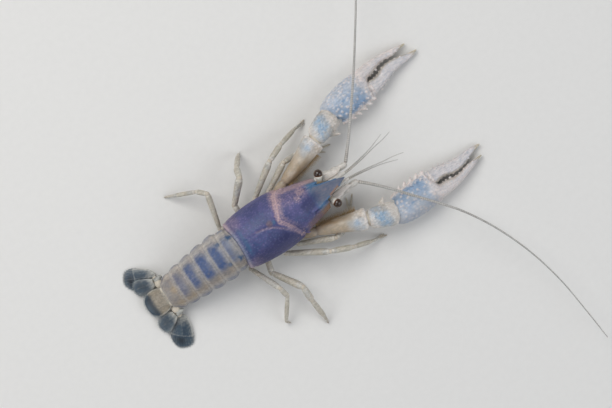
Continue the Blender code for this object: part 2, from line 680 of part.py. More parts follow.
def palm(side):
    """Palm and fixed finger, with knobs in rows and teeth along the finger's inner edge."""
    body = ring_body([claw_ring(station, 16) for station in PALM])
    pieces = []
    for k in range(5):
        root = palm_surface(6.75 + 2.75 * k, 0.05)
        pieces.append(spike(root, root + Vector((0.35, -1.25, 0.35)), 0.7, 0.45))
    for row, share in enumerate((0.18, 0.36, 0.56, 0.76)):
        for k in range(4):
            root = palm_surface(5.6 + 3.2 * k + 1.3 * (row % 2), share)
            lean = Vector((0.15, (share - 0.5) * 0.9, 0.75))
            pieces.append(spike(root, root + lean, 0.75, 0.45, 0.8))
    for u, reach, radius in PALM_TEETH:
        inner = along(PALM, u)[1]
        pieces.append(spike((u, inner + 0.3, 3.6), (u, inner - reach, 3.6), radius, 0.45, 0.8))
    bm = fused(body, pieces)
    bmesh.ops.transform(bm, matrix=claw_place(side), verts=bm.verts)
    return bm


def finger(side):
    """Movable finger, with knobs on its outer edge and teeth on its inner one."""
    body = ring_body([claw_ring(station, 12) for station in FINGER])
    pieces = []
    for k in range(4):
        u = 23.6 + 2.9 * k
        _, inner, _, bottom, top = along(FINGER, u)
        root = Vector((u, inner + 0.25, (bottom + top) / 2 + 0.5))
        pieces.append(spike(root, root + Vector((0.3, -0.75, 0.2)), 0.6, 0.4, 0.8))
    for u, reach in FINGER_TEETH:
        outer = along(FINGER, u)[2]
        pieces.append(spike((u, outer - 0.3, 3.4), (u, outer + reach, 3.4), 0.55, 0.45, 0.8))
    bm = fused(body, pieces)
    bmesh.ops.transform(bm, matrix=finger_place(side), verts=bm.verts)
    return bm


def leg_stations(hip, joints, girth):
    """Stations for a leg: each length swells between narrow joints."""
    ends = (1.15, 1.1, 0.95, 0.85, 0.62, 0.2)
    swells = ((1.2, 1.15, 1.1), (1.1, 1.3, 1.5), (1.2, 1.25, 1.15), (1.0, 1.05, 0.85), (0.62, 0.5, 0.32))
    points = [Vector(point) for point in (hip, *joints)]
    stations = [(points[0], ends[0] * girth, ends[0] * girth)]
    for k in range(len(points) - 1):
        start, end = points[k], points[k + 1]
        run, length = (end - start).normalized(), (end - start).length
        near, far = (bend_room(points, joint, girth) / length for joint in (k, k + 1))
        for share, radius in zip((near, (near + 1 - far) / 2, 1 - far), swells[k]):
            stations.append((start + run * length * share, radius * girth, radius * girth))
        stations.append((end, ends[k + 1] * girth, ends[k + 1] * girth))
    return stations


def bend_room(points, joint, girth):
    """How far from a joint the leg is at its full girth, so that both lengths clear the bend."""
    if joint in (0, len(points) - 1):
        return 0.8
    bend = (points[joint] - points[joint - 1]).angle(points[joint + 1] - points[joint])
    return 0.6 + 1.35 * girth * math.tan(bend / 2)


def leg(side, number):
    """Upper length to the knee, and lower length from the knee to the foot."""
    joints, girth = LEGS[side, number], LEG_GIRTH[number]
    start, out = hip_stations(number, side, COXA_Z, 1.15 * girth)
    stations = [start, *leg_stations(out[0], joints[:5], girth)]
    upper, lower = limb_lengths(stations, (9,), 8)
    if len(joints) == 6:
        wrist, thumb = Vector(joints[3]), Vector(joints[5])
        rings, _ = limb_rings((
            (wrist.lerp(Vector(joints[2]), 0.25), 0.5, 0.5), (wrist.lerp(thumb, 0.15), 0.5, 0.5),
            (wrist.lerp(thumb, 0.6), 0.42, 0.42), (thumb, 0.2, 0.2),
        ), 6)
        lower = fused(lower, [ring_body(rings)])
    return upper, lower


def whip_lengths(side):
    points = WHIP[side]
    count = len(points) - 1
    stations = [*FEELER_BASE]
    for k, point in enumerate(points):
        radius = WHIP_ROOT + (WHIP_TIP - WHIP_ROOT) * (k / count) ** 0.8
        stations.append((point, radius, radius))
    base = len(FEELER_BASE)
    cuts = (base - 1, base + WHIP_CUTS[0], base + WHIP_CUTS[1])
    return limb_lengths(stations, cuts, 6)


def antennule():
    """Small feeler: a jointed base that carries two thin whips."""
    rings, _ = limb_rings((
        ((-10.7, 1.55, 17.6), 0.9, 0.9), ((-7.5, 1.5, 17.8), 1.0, 1.0), ((-5.0, 1.45, 18.0), 0.9, 0.9),
        ((-4.5, 1.45, 18.0), 0.7, 0.7), ((-4.0, 1.45, 18.0), 0.85, 0.85), ((-1.9, 1.4, 18.1), 0.8, 0.8),
        ((-1.5, 1.4, 18.1), 0.62, 0.62), ((-1.0, 1.35, 18.1), 0.75, 0.75), ((1.2, 1.35, 18.2), 0.65, 0.65),
    ), 8)
    whips = []
    for route in SMALL_WHIPS:
        count = len(route) - 1
        stations = [(point, 0.42 - 0.2 * k / count, 0.42 - 0.2 * k / count) for k, point in enumerate(route)]
        whips.append(ring_body(limb_rings(stations, 6)[0]))
    return fused(ring_body(rings), whips)


def feeler_scale():
    """Flat blade beside the feeler's base, with a point at its outer front corner."""
    outline = ((0, 1.1, 1.4, 0.8), (0.12, 1.6, 1.6, 0.9), (0.34, 1.8, 1.5, 0.9), (0.5, 1.85, 1.0, 0.9),
               (0.68, 1.8, 0.55, 0.8), (0.87, 1.3, 0.3, 0.7), (1.0, 0.3, 0.2, 0.5))
    return fan_plate((-10.6, 5.05, 16.8), (0.4, 4.0, 16.6), -0.12, outline, 0.15)


def eye_and_stalk():
    centre = Vector(EYE)
    foot = Vector((-9.6, 3.5, 18.6))
    run = (centre - foot).normalized()
    seat = centre - run * EYE_R * EYE_SEAT
    eye = ball(centre, (EYE_R, EYE_R, EYE_R), 14, 10)
    geometry = eye.verts[:] + eye.edges[:] + eye.faces[:]
    bmesh.ops.bisect_plane(eye, geom=geometry, plane_co=seat, plane_no=run, clear_inner=True)
    bmesh.ops.holes_fill(eye, edges=[edge for edge in eye.edges if edge.is_boundary])
    end = seat - run * GAP
    rings, _ = limb_rings((
        (foot, 1.0, 1.0), (foot.lerp(end, 0.4), 1.0, 1.0), (foot.lerp(end, 0.8), 1.25, 1.25), (end, 1.3, 1.3),
    ), 10)
    return eye, ring_body(rings)


def clear_scene():
    for obj in list(bpy.data.objects):
        bpy.data.objects.remove(obj)


def build():
    clear_scene()
    whole = bpy.data.objects.new("crayfish", None)
    bpy.context.scene.collection.objects.link(whole)
    whole.location = (-ORIGIN_X * MM, 0, 0)

    node("head_shield", head_shield(), "carapace")
    node("thorax_shield", thorax_shield(), "carapace")
    node("thorax_underside", thorax_underside(), "underside")
    node("head_underside", head_underside(), "underside")
    for index in range(6):
        node(f"abdomen_{index + 1}", abdomen_plate(index), "abdomen")
    node("telson", telson(), "tail_fan")

    for side in SIDES:
        eye, stalk = eye_and_stalk()
        node(f"eye_{side}", on_side(side, eye), "eye")
        node(f"eyestalk_{side}", on_side(side, stalk), "eyestalk")
        node(f"mouth_leg_{side}", on_side(side, mouth_leg()), "leg")
        node(f"antennule_{side}", on_side(side, antennule()), "feeler")
        node(f"feeler_scale_{side}", on_side(side, feeler_scale()), "arm")
        for name, length in zip(("feeler_base", "feeler_1", "feeler_2", "feeler_3"), whip_lengths(side)):
            node(f"{name}_{side}", on_side(side, length), "feeler")
        node(f"claw_arm_{side}", on_side(side, arm(side)), "arm")
        node(f"claw_wrist_{side}", on_side(side, wrist(side)), "arm")
        node(f"claw_palm_{side}", on_side(side, palm(side)), "claw")
        node(f"claw_finger_{side}", on_side(side, finger(side)), "claw")
        for number in LEG_GIRTH:
            upper, lower = leg(side, number)
            node(f"leg_{number}_upper_{side}", on_side(side, upper), "leg")
            node(f"leg_{number}_lower_{side}", on_side(side, lower), "leg")
        node(f"fan_base_{side}", on_side(side, fan_base(side)), "tail_fan")
        for blade, outline, lift in (("inner", INNER_BLADE, 0.08), ("outer", OUTER_BLADE, 0.03)):
            plate = fan_plate(*FAN_REACH[side, blade], lift, outline, 0.25, BLADE_SKEW)
            node(f"fan_{blade}_{side}", on_side(side, plate), "tail_fan")


build()
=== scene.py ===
# Red swamp crayfish in its pale lavender-blue colour form, dressed over its CAD nodes.
# Pieces are shaped in millimetres from the rostrum's tip: x forward, y to the animal's left,
# z up from the floor. finishPiece turns each one into metres in the shared frame.
import math

import bmesh
import bpy
from mathutils import Matrix, Vector, noise


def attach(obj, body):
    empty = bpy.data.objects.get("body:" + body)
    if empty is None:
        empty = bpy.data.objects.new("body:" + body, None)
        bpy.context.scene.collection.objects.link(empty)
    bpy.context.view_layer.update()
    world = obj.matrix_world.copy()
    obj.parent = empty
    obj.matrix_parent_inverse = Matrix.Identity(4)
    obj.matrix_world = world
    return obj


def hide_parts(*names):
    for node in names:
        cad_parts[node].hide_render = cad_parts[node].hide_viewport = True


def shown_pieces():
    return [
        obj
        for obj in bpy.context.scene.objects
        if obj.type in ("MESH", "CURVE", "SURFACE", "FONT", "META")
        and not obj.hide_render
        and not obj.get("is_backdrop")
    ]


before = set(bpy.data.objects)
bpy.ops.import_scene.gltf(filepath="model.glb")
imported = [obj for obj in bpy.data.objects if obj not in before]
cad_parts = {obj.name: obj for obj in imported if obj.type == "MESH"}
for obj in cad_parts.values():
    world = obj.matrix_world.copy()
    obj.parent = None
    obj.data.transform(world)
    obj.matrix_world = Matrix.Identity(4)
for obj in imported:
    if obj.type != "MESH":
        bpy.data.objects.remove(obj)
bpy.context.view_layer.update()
print("frame loaded,", len(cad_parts), "nodes")

unit = 0.001                # metres in a millimetre
perMm = 1000                # a texture's Scale is this over its size in millimetres
shiftX = 17.42              # the shared origin lies this far behind the rostrum's tip
upward = Vector((0, 0, 1))
sideSign = {"left": 1, "right": -1}
noise.seed_set(7)           # the vector noise that sways the bristles would follow the clock


# Small sums used all over

def linear(text):
    # An sRGB hex colour as the scene-linear one the sockets take
    shares = (int(text[k:k + 2], 16) / 255 for k in (1, 3, 5))
    return (*(c / 12.92 if c <= 0.04045 else ((c + 0.055) / 1.055) ** 2.4 for c in shares), 1)


def along(stations, x):
    # Values at x on the smooth curve through stations of (x, value, ...)
    xs = [station[0] for station in stations]
    x = min(max(x, xs[0]), xs[-1])
    near = max(k for k in range(len(xs) - 1) if xs[k] <= x)
    far = near + 1
    span = xs[far] - xs[near]
    t = (x - xs[near]) / span
    start, end = 2 * t**3 - 3 * t**2 + 1, 3 * t**2 - 2 * t**3
    leave, arrive = t**3 - 2 * t**2 + t, t**3 - t**2
    before, after = max(near - 1, 0), min(far + 1, len(xs) - 1)
    nearSpan, farSpan = span / (xs[far] - xs[before]), span / (xs[after] - xs[near])
    return [
        stations[near][c] * start + stations[far][c] * end
        + (stations[far][c] - stations[before][c]) * nearSpan * leave
        + (stations[after][c] - stations[near][c]) * farSpan * arrive
        for c in range(1, len(stations[0]))
    ]


def ease(x, low, high):
    # 0 at low, 1 at high, rounded off at both ends
    t = min(max((x - low) / (high - low), 0), 1)
    return t * t * (3 - 2 * t)


def hump(x, centre, half):
    # 1 at the centre, 0 from half a width away
    return 1 - ease(abs(x - centre), 0, half)


def spotAt(point, x, y, size):
    # 1 in the middle of a round spot seen from above
    return 1 - ease(math.hypot(point.x - x, point.y - y), size * 0.35, size)


def strip(point, x1, y1, x2, y2, half):
    # 1 on a straight band seen from above, 0 from half a width away
    run = Vector((x2 - x1, y2 - y1))
    share = min(max((Vector((point.x - x1, point.y - y1))).dot(run) / run.length_squared, 0), 1)
    return 1 - ease(math.hypot(point.x - x1 - run.x * share, point.y - y1 - run.y * share), half * 0.3, half)


def trail(point, route, half):
    # 1 along a bent line seen from above, 0 from half a width away
    return max(strip(point, *start, *end, half) for start, end in zip(route, route[1:]))


def grains(point, size):
    # Scattered round grains: 1 on top of each, 0 between them
    near = noise.voronoi(point / size)[0][0]
    return max(0.0, 1 - (near / 0.48) ** 2)


def oval(t, wide=1.0, high=1.0):
    # Where t lies round an oval, to the side and upwards; powers under 1 make it squarer
    side, up = math.cos(math.tau * t), math.sin(math.tau * t)
    return math.copysign(abs(side) ** wide, side), math.copysign(abs(up) ** high, up)


# Making and finishing meshes

def sheet(rows, columns, pointAt):
    # A grid whose vertices are moved by a formula of their two shares; edges that meet are merged
    bm = bmesh.new()
    bmesh.ops.create_grid(bm, x_segments=rows, y_segments=columns, size=1)
    for vert in bm.verts:
        vert.co = pointAt(round((vert.co.x + 1) / 2, 5), (vert.co.y + 1) / 2)
    bmesh.ops.remove_doubles(bm, verts=bm.verts, dist=0.003)
    bmesh.ops.recalc_face_normals(bm, faces=bm.faces)
    return bm


def limb(stations, rows, columns, power=1.0, dome=0.7):
    # A tube with domed ends through stations of (point, half width, half height)
    run, table = 0, []
    for k, (point, wide, high) in enumerate(stations):
        if k:
            run += (Vector(point) - Vector(stations[k - 1][0])).length
        table.append((run, *point, wide, high))
    crossLines = {}

    def crossLine(s):
        if s not in crossLines:
            here = along(table, s * run)
            ahead = Vector(along(table, min(s * run + 0.1, run))[:3])
            behind = Vector(along(table, max(s * run - 0.1, 0))[:3])
            way = (ahead - behind).normalized()
            across = upward.cross(way).normalized()
            room = min(min(s, 1 - s) * run / (dome * max(here[3], 0.05)), 1)
            fullness = math.sqrt(max(1 - (1 - room) ** 2, 0))
            up = way.cross(across)
            crossLines[s] = Vector(here[:3]), across * here[3] * fullness, up * here[4] * fullness
        return crossLines[s]

    def pointAt(s, t):
        centre, across, up = crossLine(s)
        sideways, level = oval(t, power, power)
        return centre + across * sideways + up * level

    return sheet(rows, columns, pointAt)


def joined(parts):
    # All parts in one mesh, in their order
    whole = bmesh.new()
    for part in parts:
        mesh = bpy.data.meshes.new("part")
        part.to_mesh(mesh)
        part.free()
        whole.from_mesh(mesh)
        bpy.data.meshes.remove(mesh)
    return whole


def fused(bm, voxel, rounds=2):
    # One skin over everything in the mesh, rounded a little where parts meet
    mesh = bpy.data.meshes.new("skin")
    bm.to_mesh(mesh)
    bm.free()
    holder = bpy.data.objects.new("skin", mesh)
    bpy.context.scene.collection.objects.link(holder)
    wrap = holder.modifiers.new("wrap", "REMESH")
    wrap.mode, wrap.voxel_size, wrap.adaptivity = "VOXEL", voxel, 0
    bpy.context.view_layer.update()
    skin = bmesh.new()
    skin.from_object(holder, bpy.context.evaluated_depsgraph_get())
    bpy.data.objects.remove(holder)
    for _ in range(rounds):
        bmesh.ops.smooth_vert(
            skin, verts=skin.verts, factor=0.5, use_axis_x=True, use_axis_y=True, use_axis_z=True,
        )
    return skin


def spike(middle, reach, wide, narrow, sides):
    # A cone of that reach, with its radius at each end
    bm = bmesh.new()
    turn = reach.to_track_quat("Z", "Y").to_matrix().to_4x4()
    bmesh.ops.create_cone(
        bm, cap_ends=True, segments=sides, radius1=wide, radius2=narrow, depth=reach.length,
        matrix=Matrix.Translation(middle) @ turn,
    )
    return bm


def thorn(root, tip, radius, blunt=0.15):
    # A spine or knob, its root a little inside the shell
    root, tip = Vector(root), Vector(tip)
    root -= (tip - root) * 0.3
    return spike((root + tip) / 2, tip - root, radius * 1.15, radius * blunt, 14)


def bulb(centre, size, rings=14):
    bm = bmesh.new()
    bmesh.ops.create_uvsphere(bm, u_segments=rings * 2, v_segments=rings, radius=1)
    bmesh.ops.scale(bm, vec=size, verts=bm.verts)
    bmesh.ops.translate(bm, vec=centre, verts=bm.verts)
    return bm


def bristles(count, rootAt, thick):
    # A fringe of fine four-sided bristles; rootAt gives the root and the reach of each
    tufts = []
    for k in range(count):
        root, reach = rootAt((k + 0.5) / count)
        sway = noise.noise_vector(Vector((k * 1.7, 0.3, 0.1)))
        reach = reach + sway * reach.length * 0.22
        tufts.append(spike(root + reach / 2, reach, thick, thick * 0.25, 4))
    return joined(tufts)


def dress(bm, lookAt):
    # Moves each vertex along its normal and marks its colour: blue, pale, warm and dark shares
    bm.normal_update()
    marks = bm.verts.layers.float_color.new("marks")
    for vert in bm.verts:
        rise, *shares = lookAt(vert.co, vert.normal)
        vert[marks] = [min(max(share, 0), 1) for share in shares]
        vert.co = vert.co + vert.normal * rise
    return bm


def finishPiece(name, bm, slotName, nodes=(), side="left", finish=None):
    # Moves a piece into the shared frame, gives it its finish and hides the nodes it stands for; a right one
    # is mirrored
    if side == "right":
        bmesh.ops.scale(bm, vec=(1, -1, 1), verts=bm.verts)
        bmesh.ops.reverse_faces(bm, faces=bm.faces)
    bmesh.ops.translate(bm, vec=(shiftX, 0, 0), verts=bm.verts)
    for vert in bm.verts:
        vert.co.z = max(vert.co.z, 0.01)            # nothing reaches through the floor
    bmesh.ops.scale(bm, vec=(unit, unit, unit), verts=bm.verts)
    mesh = bpy.data.meshes.new(name)
    bm.to_mesh(mesh)
    bm.free()
    mesh.shade_smooth()
    mesh.materials.append(finishes[finish or slotName])
    obj = bpy.data.objects.new(name, mesh)
    bpy.context.scene.collection.objects.link(obj)
    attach(obj, "root")
    if nodes:
        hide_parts(*nodes)


def finishNode(node, part, bm, slotName, side="left"):
    # A piece that stands for one node and is named after it
    finishPiece(f"{node}.{part}", bm, slotName, (node,), side)


def copyOfNode(name):
    # A node's mesh back in millimetres from the rostrum's tip
    bm = bmesh.new()
    bm.from_mesh(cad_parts[name].data)
    bmesh.ops.remove_doubles(bm, verts=bm.verts, dist=1e-6)
    bmesh.ops.scale(bm, vec=(1 / unit, 1 / unit, 1 / unit), verts=bm.verts)
    bmesh.ops.translate(bm, vec=(-shiftX, 0, 0), verts=bm.verts)
    return bm


# Materials

def addNode(tree, kind, settings=None, links=None):
    # Adds a node, sets its properties and sockets, and links sources into it
    node = tree.nodes.new(kind)
    for key, value in (settings or {}).items():
        if isinstance(key, str) and hasattr(node, key):
            setattr(node, key, value)
        else:
            node.inputs[key].default_value = value
    for key, source in (links or {}).items():
        tree.links.new(source, node.inputs[key])
    return node


def newMaterial(name):
    # An empty material, its node tree and the object's own coordinates
    material = bpy.data.materials.new(name)
    material.use_nodes = True
    tree = material.node_tree
    tree.nodes.clear()
    return material, tree, addNode(tree, "ShaderNodeTexCoord").outputs["Object"]


# Crayfish shell is calcified chitin: a smooth, slightly waxy surface with fine pits, coloured by
# pigment in the skin below it, which shows as cloudy mottling under a half-clear top layer.
shellTones = ("base", "cloud", "deep", "blue", "pale", "warm", "dark")
shellFinishes = {
    # the seven tones, roughness, sizes of mottling and pits in millimetres, bump, inner glow
    "carapace": ("#474d80 #655f91 #353e70 #3b6488 #b89c9f #8a6a50 #252a5a", 0.52, 0.9, 0.32, 0.4, 0.08),
    "abdomen": ("#7d8089 #928f8b #6c7488 #40557f #beb6ad #9b8a72 #1f4a72", 0.44, 1.3, 0.4, 0.25, 0.2),
    "tail_fan": ("#37495a #4a5b64 #293a48 #27394b #b1b0a8 #948670 #0c141d", 0.4, 1.0, 0.35, 0.2, 0.15),
    "claw": ("#a9b6c5 #bcc0c6 #99a9bd #7090b2 #ded4cf #bfae86 #67707e", 0.42, 1.4, 0.45, 0.25, 0.2),
    "arm": ("#bcb2a2 #cac2b6 #ab9e8b #8aa5bd #dcd6d0 #a68c68 #5f4c36", 0.44, 1.3, 0.4, 0.22, 0.2),
    "leg": ("#aba493 #bab4a6 #989180 #98a0a9 #cec9be #8c7757 #3c3026", 0.42, 1.1, 0.3, 0.18, 0.22),
    "feeler": ("#9f9d99 #b0ada6 #8d8a84 #808c9c #d0ccc5 #96825f #5f5c58", 0.4, 1.0, 0.3, 0.15, 0.15),
    "underside": ("#bdb3a5 #ccc3b8 #a99d8c #9ba6b4 #dcd5cc #9c866a #5a4c40", 0.42, 1.4, 0.4, 0.25, 0.2),
    "eyestalk": ("#bfae92 #cfc2ac #a58f6c #9fa8a8 #e8e4da #7a4c24 #2a1a10", 0.36, 0.6, 0.25, 0.15, 0.15),
}
softFinishes = {
    # dark and light tone, size of the clouds in millimetres, roughness
    "jointSkin": ("#b5ab9a", "#d2cabb", 1.4, 0.5), "brownBristle": ("#8f7550", "#b79a70", 0.6, 0.6),
    "paleBristle": ("#a9a497", "#cfcabd", 0.6, 0.6), "slateBristle": ("#6b7880", "#9aa5aa", 0.6, 0.6),
}
skinDepth = (1.0, 0.7, 0.6)     # red light travels furthest under the surface


def shellMaterial(slotName):
    tones, rough, mottle, pitSize, bumpiness, glow = shellFinishes[slotName]
    tone = dict(zip(shellTones, map(linear, tones.split())))
    material, tree, place = newMaterial(slotName + "Shell")
    clouds = addNode(tree, "ShaderNodeTexNoise", {      # cloudy pigment under the clear layer
        "Scale": perMm / mottle / 2.2, "Detail": 6.0, "Roughness": 0.62, "Distortion": 0.4,
    }, {"Vector": place})
    cloudShare = addNode(tree, "ShaderNodeMapRange", {
        "From Min": 0.36, "From Max": 0.66,
    }, {"Value": clouds.outputs["Fac"]})
    tint = addNode(tree, "ShaderNodeMix", {
        "data_type": "RGBA", 6: tone["base"], 7: tone["cloud"],
    }, {0: cloudShare.outputs["Result"]})
    broad = addNode(tree, "ShaderNodeTexNoise", {       # slow change of pigment across a plate
        "Scale": perMm / 7.0, "Detail": 2.0,
    }, {"Vector": place})
    broadShare = addNode(tree, "ShaderNodeMapRange", {
        "From Min": 0.42, "From Max": 0.66, "To Max": 0.75,
    }, {"Value": broad.outputs["Fac"]})
    deepened = addNode(tree, "ShaderNodeMix", {
        "data_type": "RGBA", 7: tone["deep"],
    }, {0: broadShare.outputs["Result"], 6: tint.outputs[2]})
    stretch = addNode(tree, "ShaderNodeMapping", {"Scale": (0.5, 1.3, 1.0)}, {"Vector": place})
    flecks = addNode(tree, "ShaderNodeTexNoise", {      # short fine streaks that follow the body
        "Scale": perMm / 0.9, "Detail": 3.0, "Roughness": 0.7,
    }, {"Vector": stretch.outputs["Vector"]})
    marks = addNode(tree, "ShaderNodeAttribute", {"attribute_name": "marks"})
    shares = addNode(tree, "ShaderNodeSeparateColor", {}, {"Color": marks.outputs["Color"]})
    colour = deepened.outputs[2]
    for name, share in (
        ("blue", shares.outputs["Red"]), ("warm", shares.outputs["Blue"]),
        ("pale", shares.outputs["Green"]), ("dark", marks.outputs["Alpha"]),
    ):
        broken = addNode(tree, "ShaderNodeMath", {      # each patch ends in a soft, flecked edge
            "operation": "MULTIPLY_ADD", 1: 0.6,
        }, {0: flecks.outputs["Fac"], 2: share})
        edge = addNode(tree, "ShaderNodeMapRange", {
            "From Min": 0.36, "From Max": 1.3,
        }, {"Value": broken.outputs["Value"]})
        patch = addNode(tree, "ShaderNodeMix", {
            "data_type": "RGBA", 7: tone[name],
        }, {0: edge.outputs["Result"], 6: colour})
        colour = patch.outputs[2]
    fleckShare = addNode(tree, "ShaderNodeMapRange", {
        "From Min": 0.3, "From Max": 0.7, "To Min": 0.8, "To Max": 1.2,
    }, {"Value": flecks.outputs["Fac"]})
    toned = addNode(tree, "ShaderNodeHueSaturation", {}, {
        "Color": colour, "Value": fleckShare.outputs["Result"],
    })
    pits = addNode(tree, "ShaderNodeTexVoronoi", {      # hair pits all over the shell
        "Scale": perMm / pitSize, "feature": "F1",
    }, {"Vector": place})
    pitDepth = addNode(tree, "ShaderNodeMapRange", {
        "From Min": 0.05, "From Max": 0.45,
    }, {"Value": pits.outputs["Distance"]})
    uneven = addNode(tree, "ShaderNodeMath", {
        "operation": "MULTIPLY_ADD", 1: 0.6,
    }, {0: clouds.outputs["Fac"], 2: pitDepth.outputs["Result"]})
    bump = addNode(tree, "ShaderNodeBump", {
        "Strength": bumpiness, "Distance": 0.00006,
    }, {"Height": uneven.outputs["Value"]})
    sheen = addNode(tree, "ShaderNodeMapRange", {       # worn and damp places shine differently
        "From Min": 0.3, "From Max": 0.7, "To Min": rough - 0.07, "To Max": rough + 0.1,
    }, {"Value": clouds.outputs["Fac"]})
    shell = addNode(tree, "ShaderNodeBsdfPrincipled", {
        "IOR": 1.54, "Subsurface Weight": glow, "Subsurface Radius": skinDepth,
        "Subsurface Scale": 0.0008, "Coat Weight": 0.06, "Coat Roughness": 0.3,
    }, {
        "Base Color": toned.outputs["Color"], "Roughness": sheen.outputs["Result"],
        "Normal": bump.outputs["Normal"],
    })
    addNode(tree, "ShaderNodeOutputMaterial", {}, {"Surface": shell.outputs["BSDF"]})
    return material


def eyeMaterial():
    # A crayfish eye is a dark dome of tiny facets under a clear, wet cornea
    material, tree, place = newMaterial("facetedEye")
    facets = addNode(tree, "ShaderNodeTexVoronoi", {
        "Scale": perMm / 0.16, "feature": "F1",
    }, {"Vector": place})
    clouds = addNode(tree, "ShaderNodeTexNoise", {"Scale": perMm / 1.5, "Detail": 3.0}, {"Vector": place})
    brown = addNode(tree, "ShaderNodeMix", {
        "data_type": "RGBA", 6: linear("#120a06"), 7: linear("#3a2412"),
    }, {0: clouds.outputs["Fac"]})
    marks = addNode(tree, "ShaderNodeAttribute", {"attribute_name": "marks"})
    shares = addNode(tree, "ShaderNodeSeparateColor", {}, {"Color": marks.outputs["Color"]})
    rim = addNode(tree, "ShaderNodeMix", {
        "data_type": "RGBA", 7: linear("#6b3f1c"),
    }, {0: shares.outputs["Blue"], 6: brown.outputs[2]})
    bump = addNode(tree, "ShaderNodeBump", {
        "Strength": 0.3, "Distance": 0.00002, "invert": True,
    }, {"Height": facets.outputs["Distance"]})
    eye = addNode(tree, "ShaderNodeBsdfPrincipled", {
        "Roughness": 0.22, "IOR": 1.5, "Coat Weight": 0.5, "Coat Roughness": 0.08,
    }, {"Base Color": rim.outputs[2], "Normal": bump.outputs["Normal"]})
    addNode(tree, "ShaderNodeOutputMaterial", {}, {"Surface": eye.outputs["BSDF"]})
    return material


def softMaterial(name):
    # Joint skin and bristles: soft matt chitin, unevenly tanned, that light sinks into
    dark, light, cloudSize, rough = softFinishes[name]
    material, tree, place = newMaterial(name)
    clouds = addNode(tree, "ShaderNodeTexNoise", {
        "Scale": perMm / cloudSize, "Detail": 4.0,
    }, {"Vector": place})
    colour = addNode(tree, "ShaderNodeMix", {
        "data_type": "RGBA", 6: linear(dark), 7: linear(light),
    }, {0: clouds.outputs["Fac"]})
    bump = addNode(tree, "ShaderNodeBump", {
        "Strength": 0.3, "Distance": 0.00005,
    }, {"Height": clouds.outputs["Fac"]})
    skin = addNode(tree, "ShaderNodeBsdfPrincipled", {
        "Roughness": rough, "IOR": 1.48, "Subsurface Weight": 0.15, "Subsurface Radius": skinDepth,
        "Subsurface Scale": 0.0006,
    }, {"Base Color": colour.outputs[2], "Normal": bump.outputs["Normal"]})
    addNode(tree, "ShaderNodeOutputMaterial", {}, {"Surface": skin.outputs["BSDF"]})
    return material


finishes = {slotName: shellMaterial(slotName) for slotName in shellFinishes}
finishes["eye"] = eyeMaterial()
for softName in softFinishes:
    finishes[softName] = softMaterial(softName)
print("materials made")


# Carapace: one shield from the tail side of the thorax to the rostrum's tip, with its neck groove

spine = ((-98, 0.1), (-80, 0.3), (-68, 0.7), (-55, 1.0), (-30, 0.5), (-10, 0.0), (2, 0.0))
carapace = {
    # x, half width, height of the back, height of the lower edge
    "profile": (
        (-52, 10.0, 24.2, 10.9), (-48, 11.2, 25.4, 9.2), (-42, 11.95, 26.5, 7.8),
        (-35, 12.2, 26.85, 7.4), (-28, 11.5, 26.65, 8.1), (-22, 9.7, 26.0, 9.2),
        (-17, 8.5, 25.0, 10.8), (-13, 7.5, 23.9, 12.4), (-10, 6.5, 22.9, 13.8),
    ),
    "tuck": math.radians(115), "rear": -50.2, "rearSweep": 1.3,
    "face": -10.5, "faceLean": 0.14, "faceTop": 23.0, "faceDrop": 4.6,
    # the neck groove and the finer line behind it, seen from above
    "neck": (
        (-26.2, 12.0), (-28.1, 9.5), (-31.6, 1.2), (-31.3, -0.8), (-29.0, -4.0), (-27.4, -7.0),
        (-25.6, -11.5),
    ),
    "fork": ((-41.5, 1.3), (-38.5, 0.7), (-35.8, -0.3), (-33.0, -2.0), (-30.0, -5.0), (-26.4, -10.2)),
    "grooveDepth": 0.42, "grooveHalf": 1.5,
    "arch": 2.4, "voxel": 0.24, "granule": 0.95, "granuleRise": 0.1,
    "spines": (                         # root, tip, radius and bluntness, the same on both sides
        ((-15.5, 5.4, 22.9), (-10.3, 4.6, 23.15), 0.75, 0.4),
        ((-24.6, 10.0, 18.4), (-22.9, 10.7, 18.5), 0.5, 0.15),
        ((-5.0, 1.7, 21.75), (-2.5, 1.75, 21.65), 0.35, 0.15),
    ),
}
tuckLevel = math.cos(carapace["tuck"])
rostrum = {
    # x, half width, top, thickness
    "profile": (
        (-19, 4.9, 24.9, 1.6), (-14, 4.8, 24.3, 1.7), (-10, 3.6, 23.3, 1.6), (-6, 2.4, 22.3, 1.3),
        (-3, 1.3, 21.6, 1.1), (-0.8, 0.5, 21.0, 0.8), (0, 0.2, 20.8, 0.5),
    ),
    "length": 19, "trough": 0.45, "rim": 0.38,
}


def middleAt(x):
    return along(spine, x)[0]


def shellPoint(x, turn):
    # On the shield at x, turned from the ridge of the back towards the left
    half, top, low = along(carapace["profile"], x)
    share = (math.cos(turn) - tuckLevel) / (1 - tuckLevel)
    return Vector((x, middleAt(x) + half * math.sin(turn), low + (top - low) * share))


def ringPoint(pointAt, t, arch):
    # t runs over the back from the right edge to the left, then back under the arched belly
    over = 0.8
    tuck = carapace["tuck"]
    if t <= over:
        return pointAt(-tuck + 2 * tuck * t / over)
    share = (t - over) / (1 - over)
    point = pointAt(tuck).lerp(pointAt(-tuck), share)
    point.z += arch * math.sin(math.pi * share) ** 0.8
    return point


def capped(s, rim=0.02):
    # Splits a share into the share along the body and how far the end plate has closed
    return min(max((s - rim) / (1 - 2 * rim), 0), 1), min(min(s, 1 - s) / rim, 1)


def closedOff(profile, point, closed):
    # A point of an end plate, drawn in to the middle of its section
    _, top, low = along(profile, point.x)
    return Vector((point.x, middleAt(point.x), (top + low) / 2)).lerp(point, closed)


def rearOf(turn):
    return carapace["rear"] - carapace["rearSweep"] * math.sin(turn) ** 2


def faceOf(turn):
    level = carapace["faceTop"] - carapace["faceDrop"] * (1 - math.cos(turn))
    return carapace["face"] - carapace["faceLean"] * (carapace["faceTop"] - level)


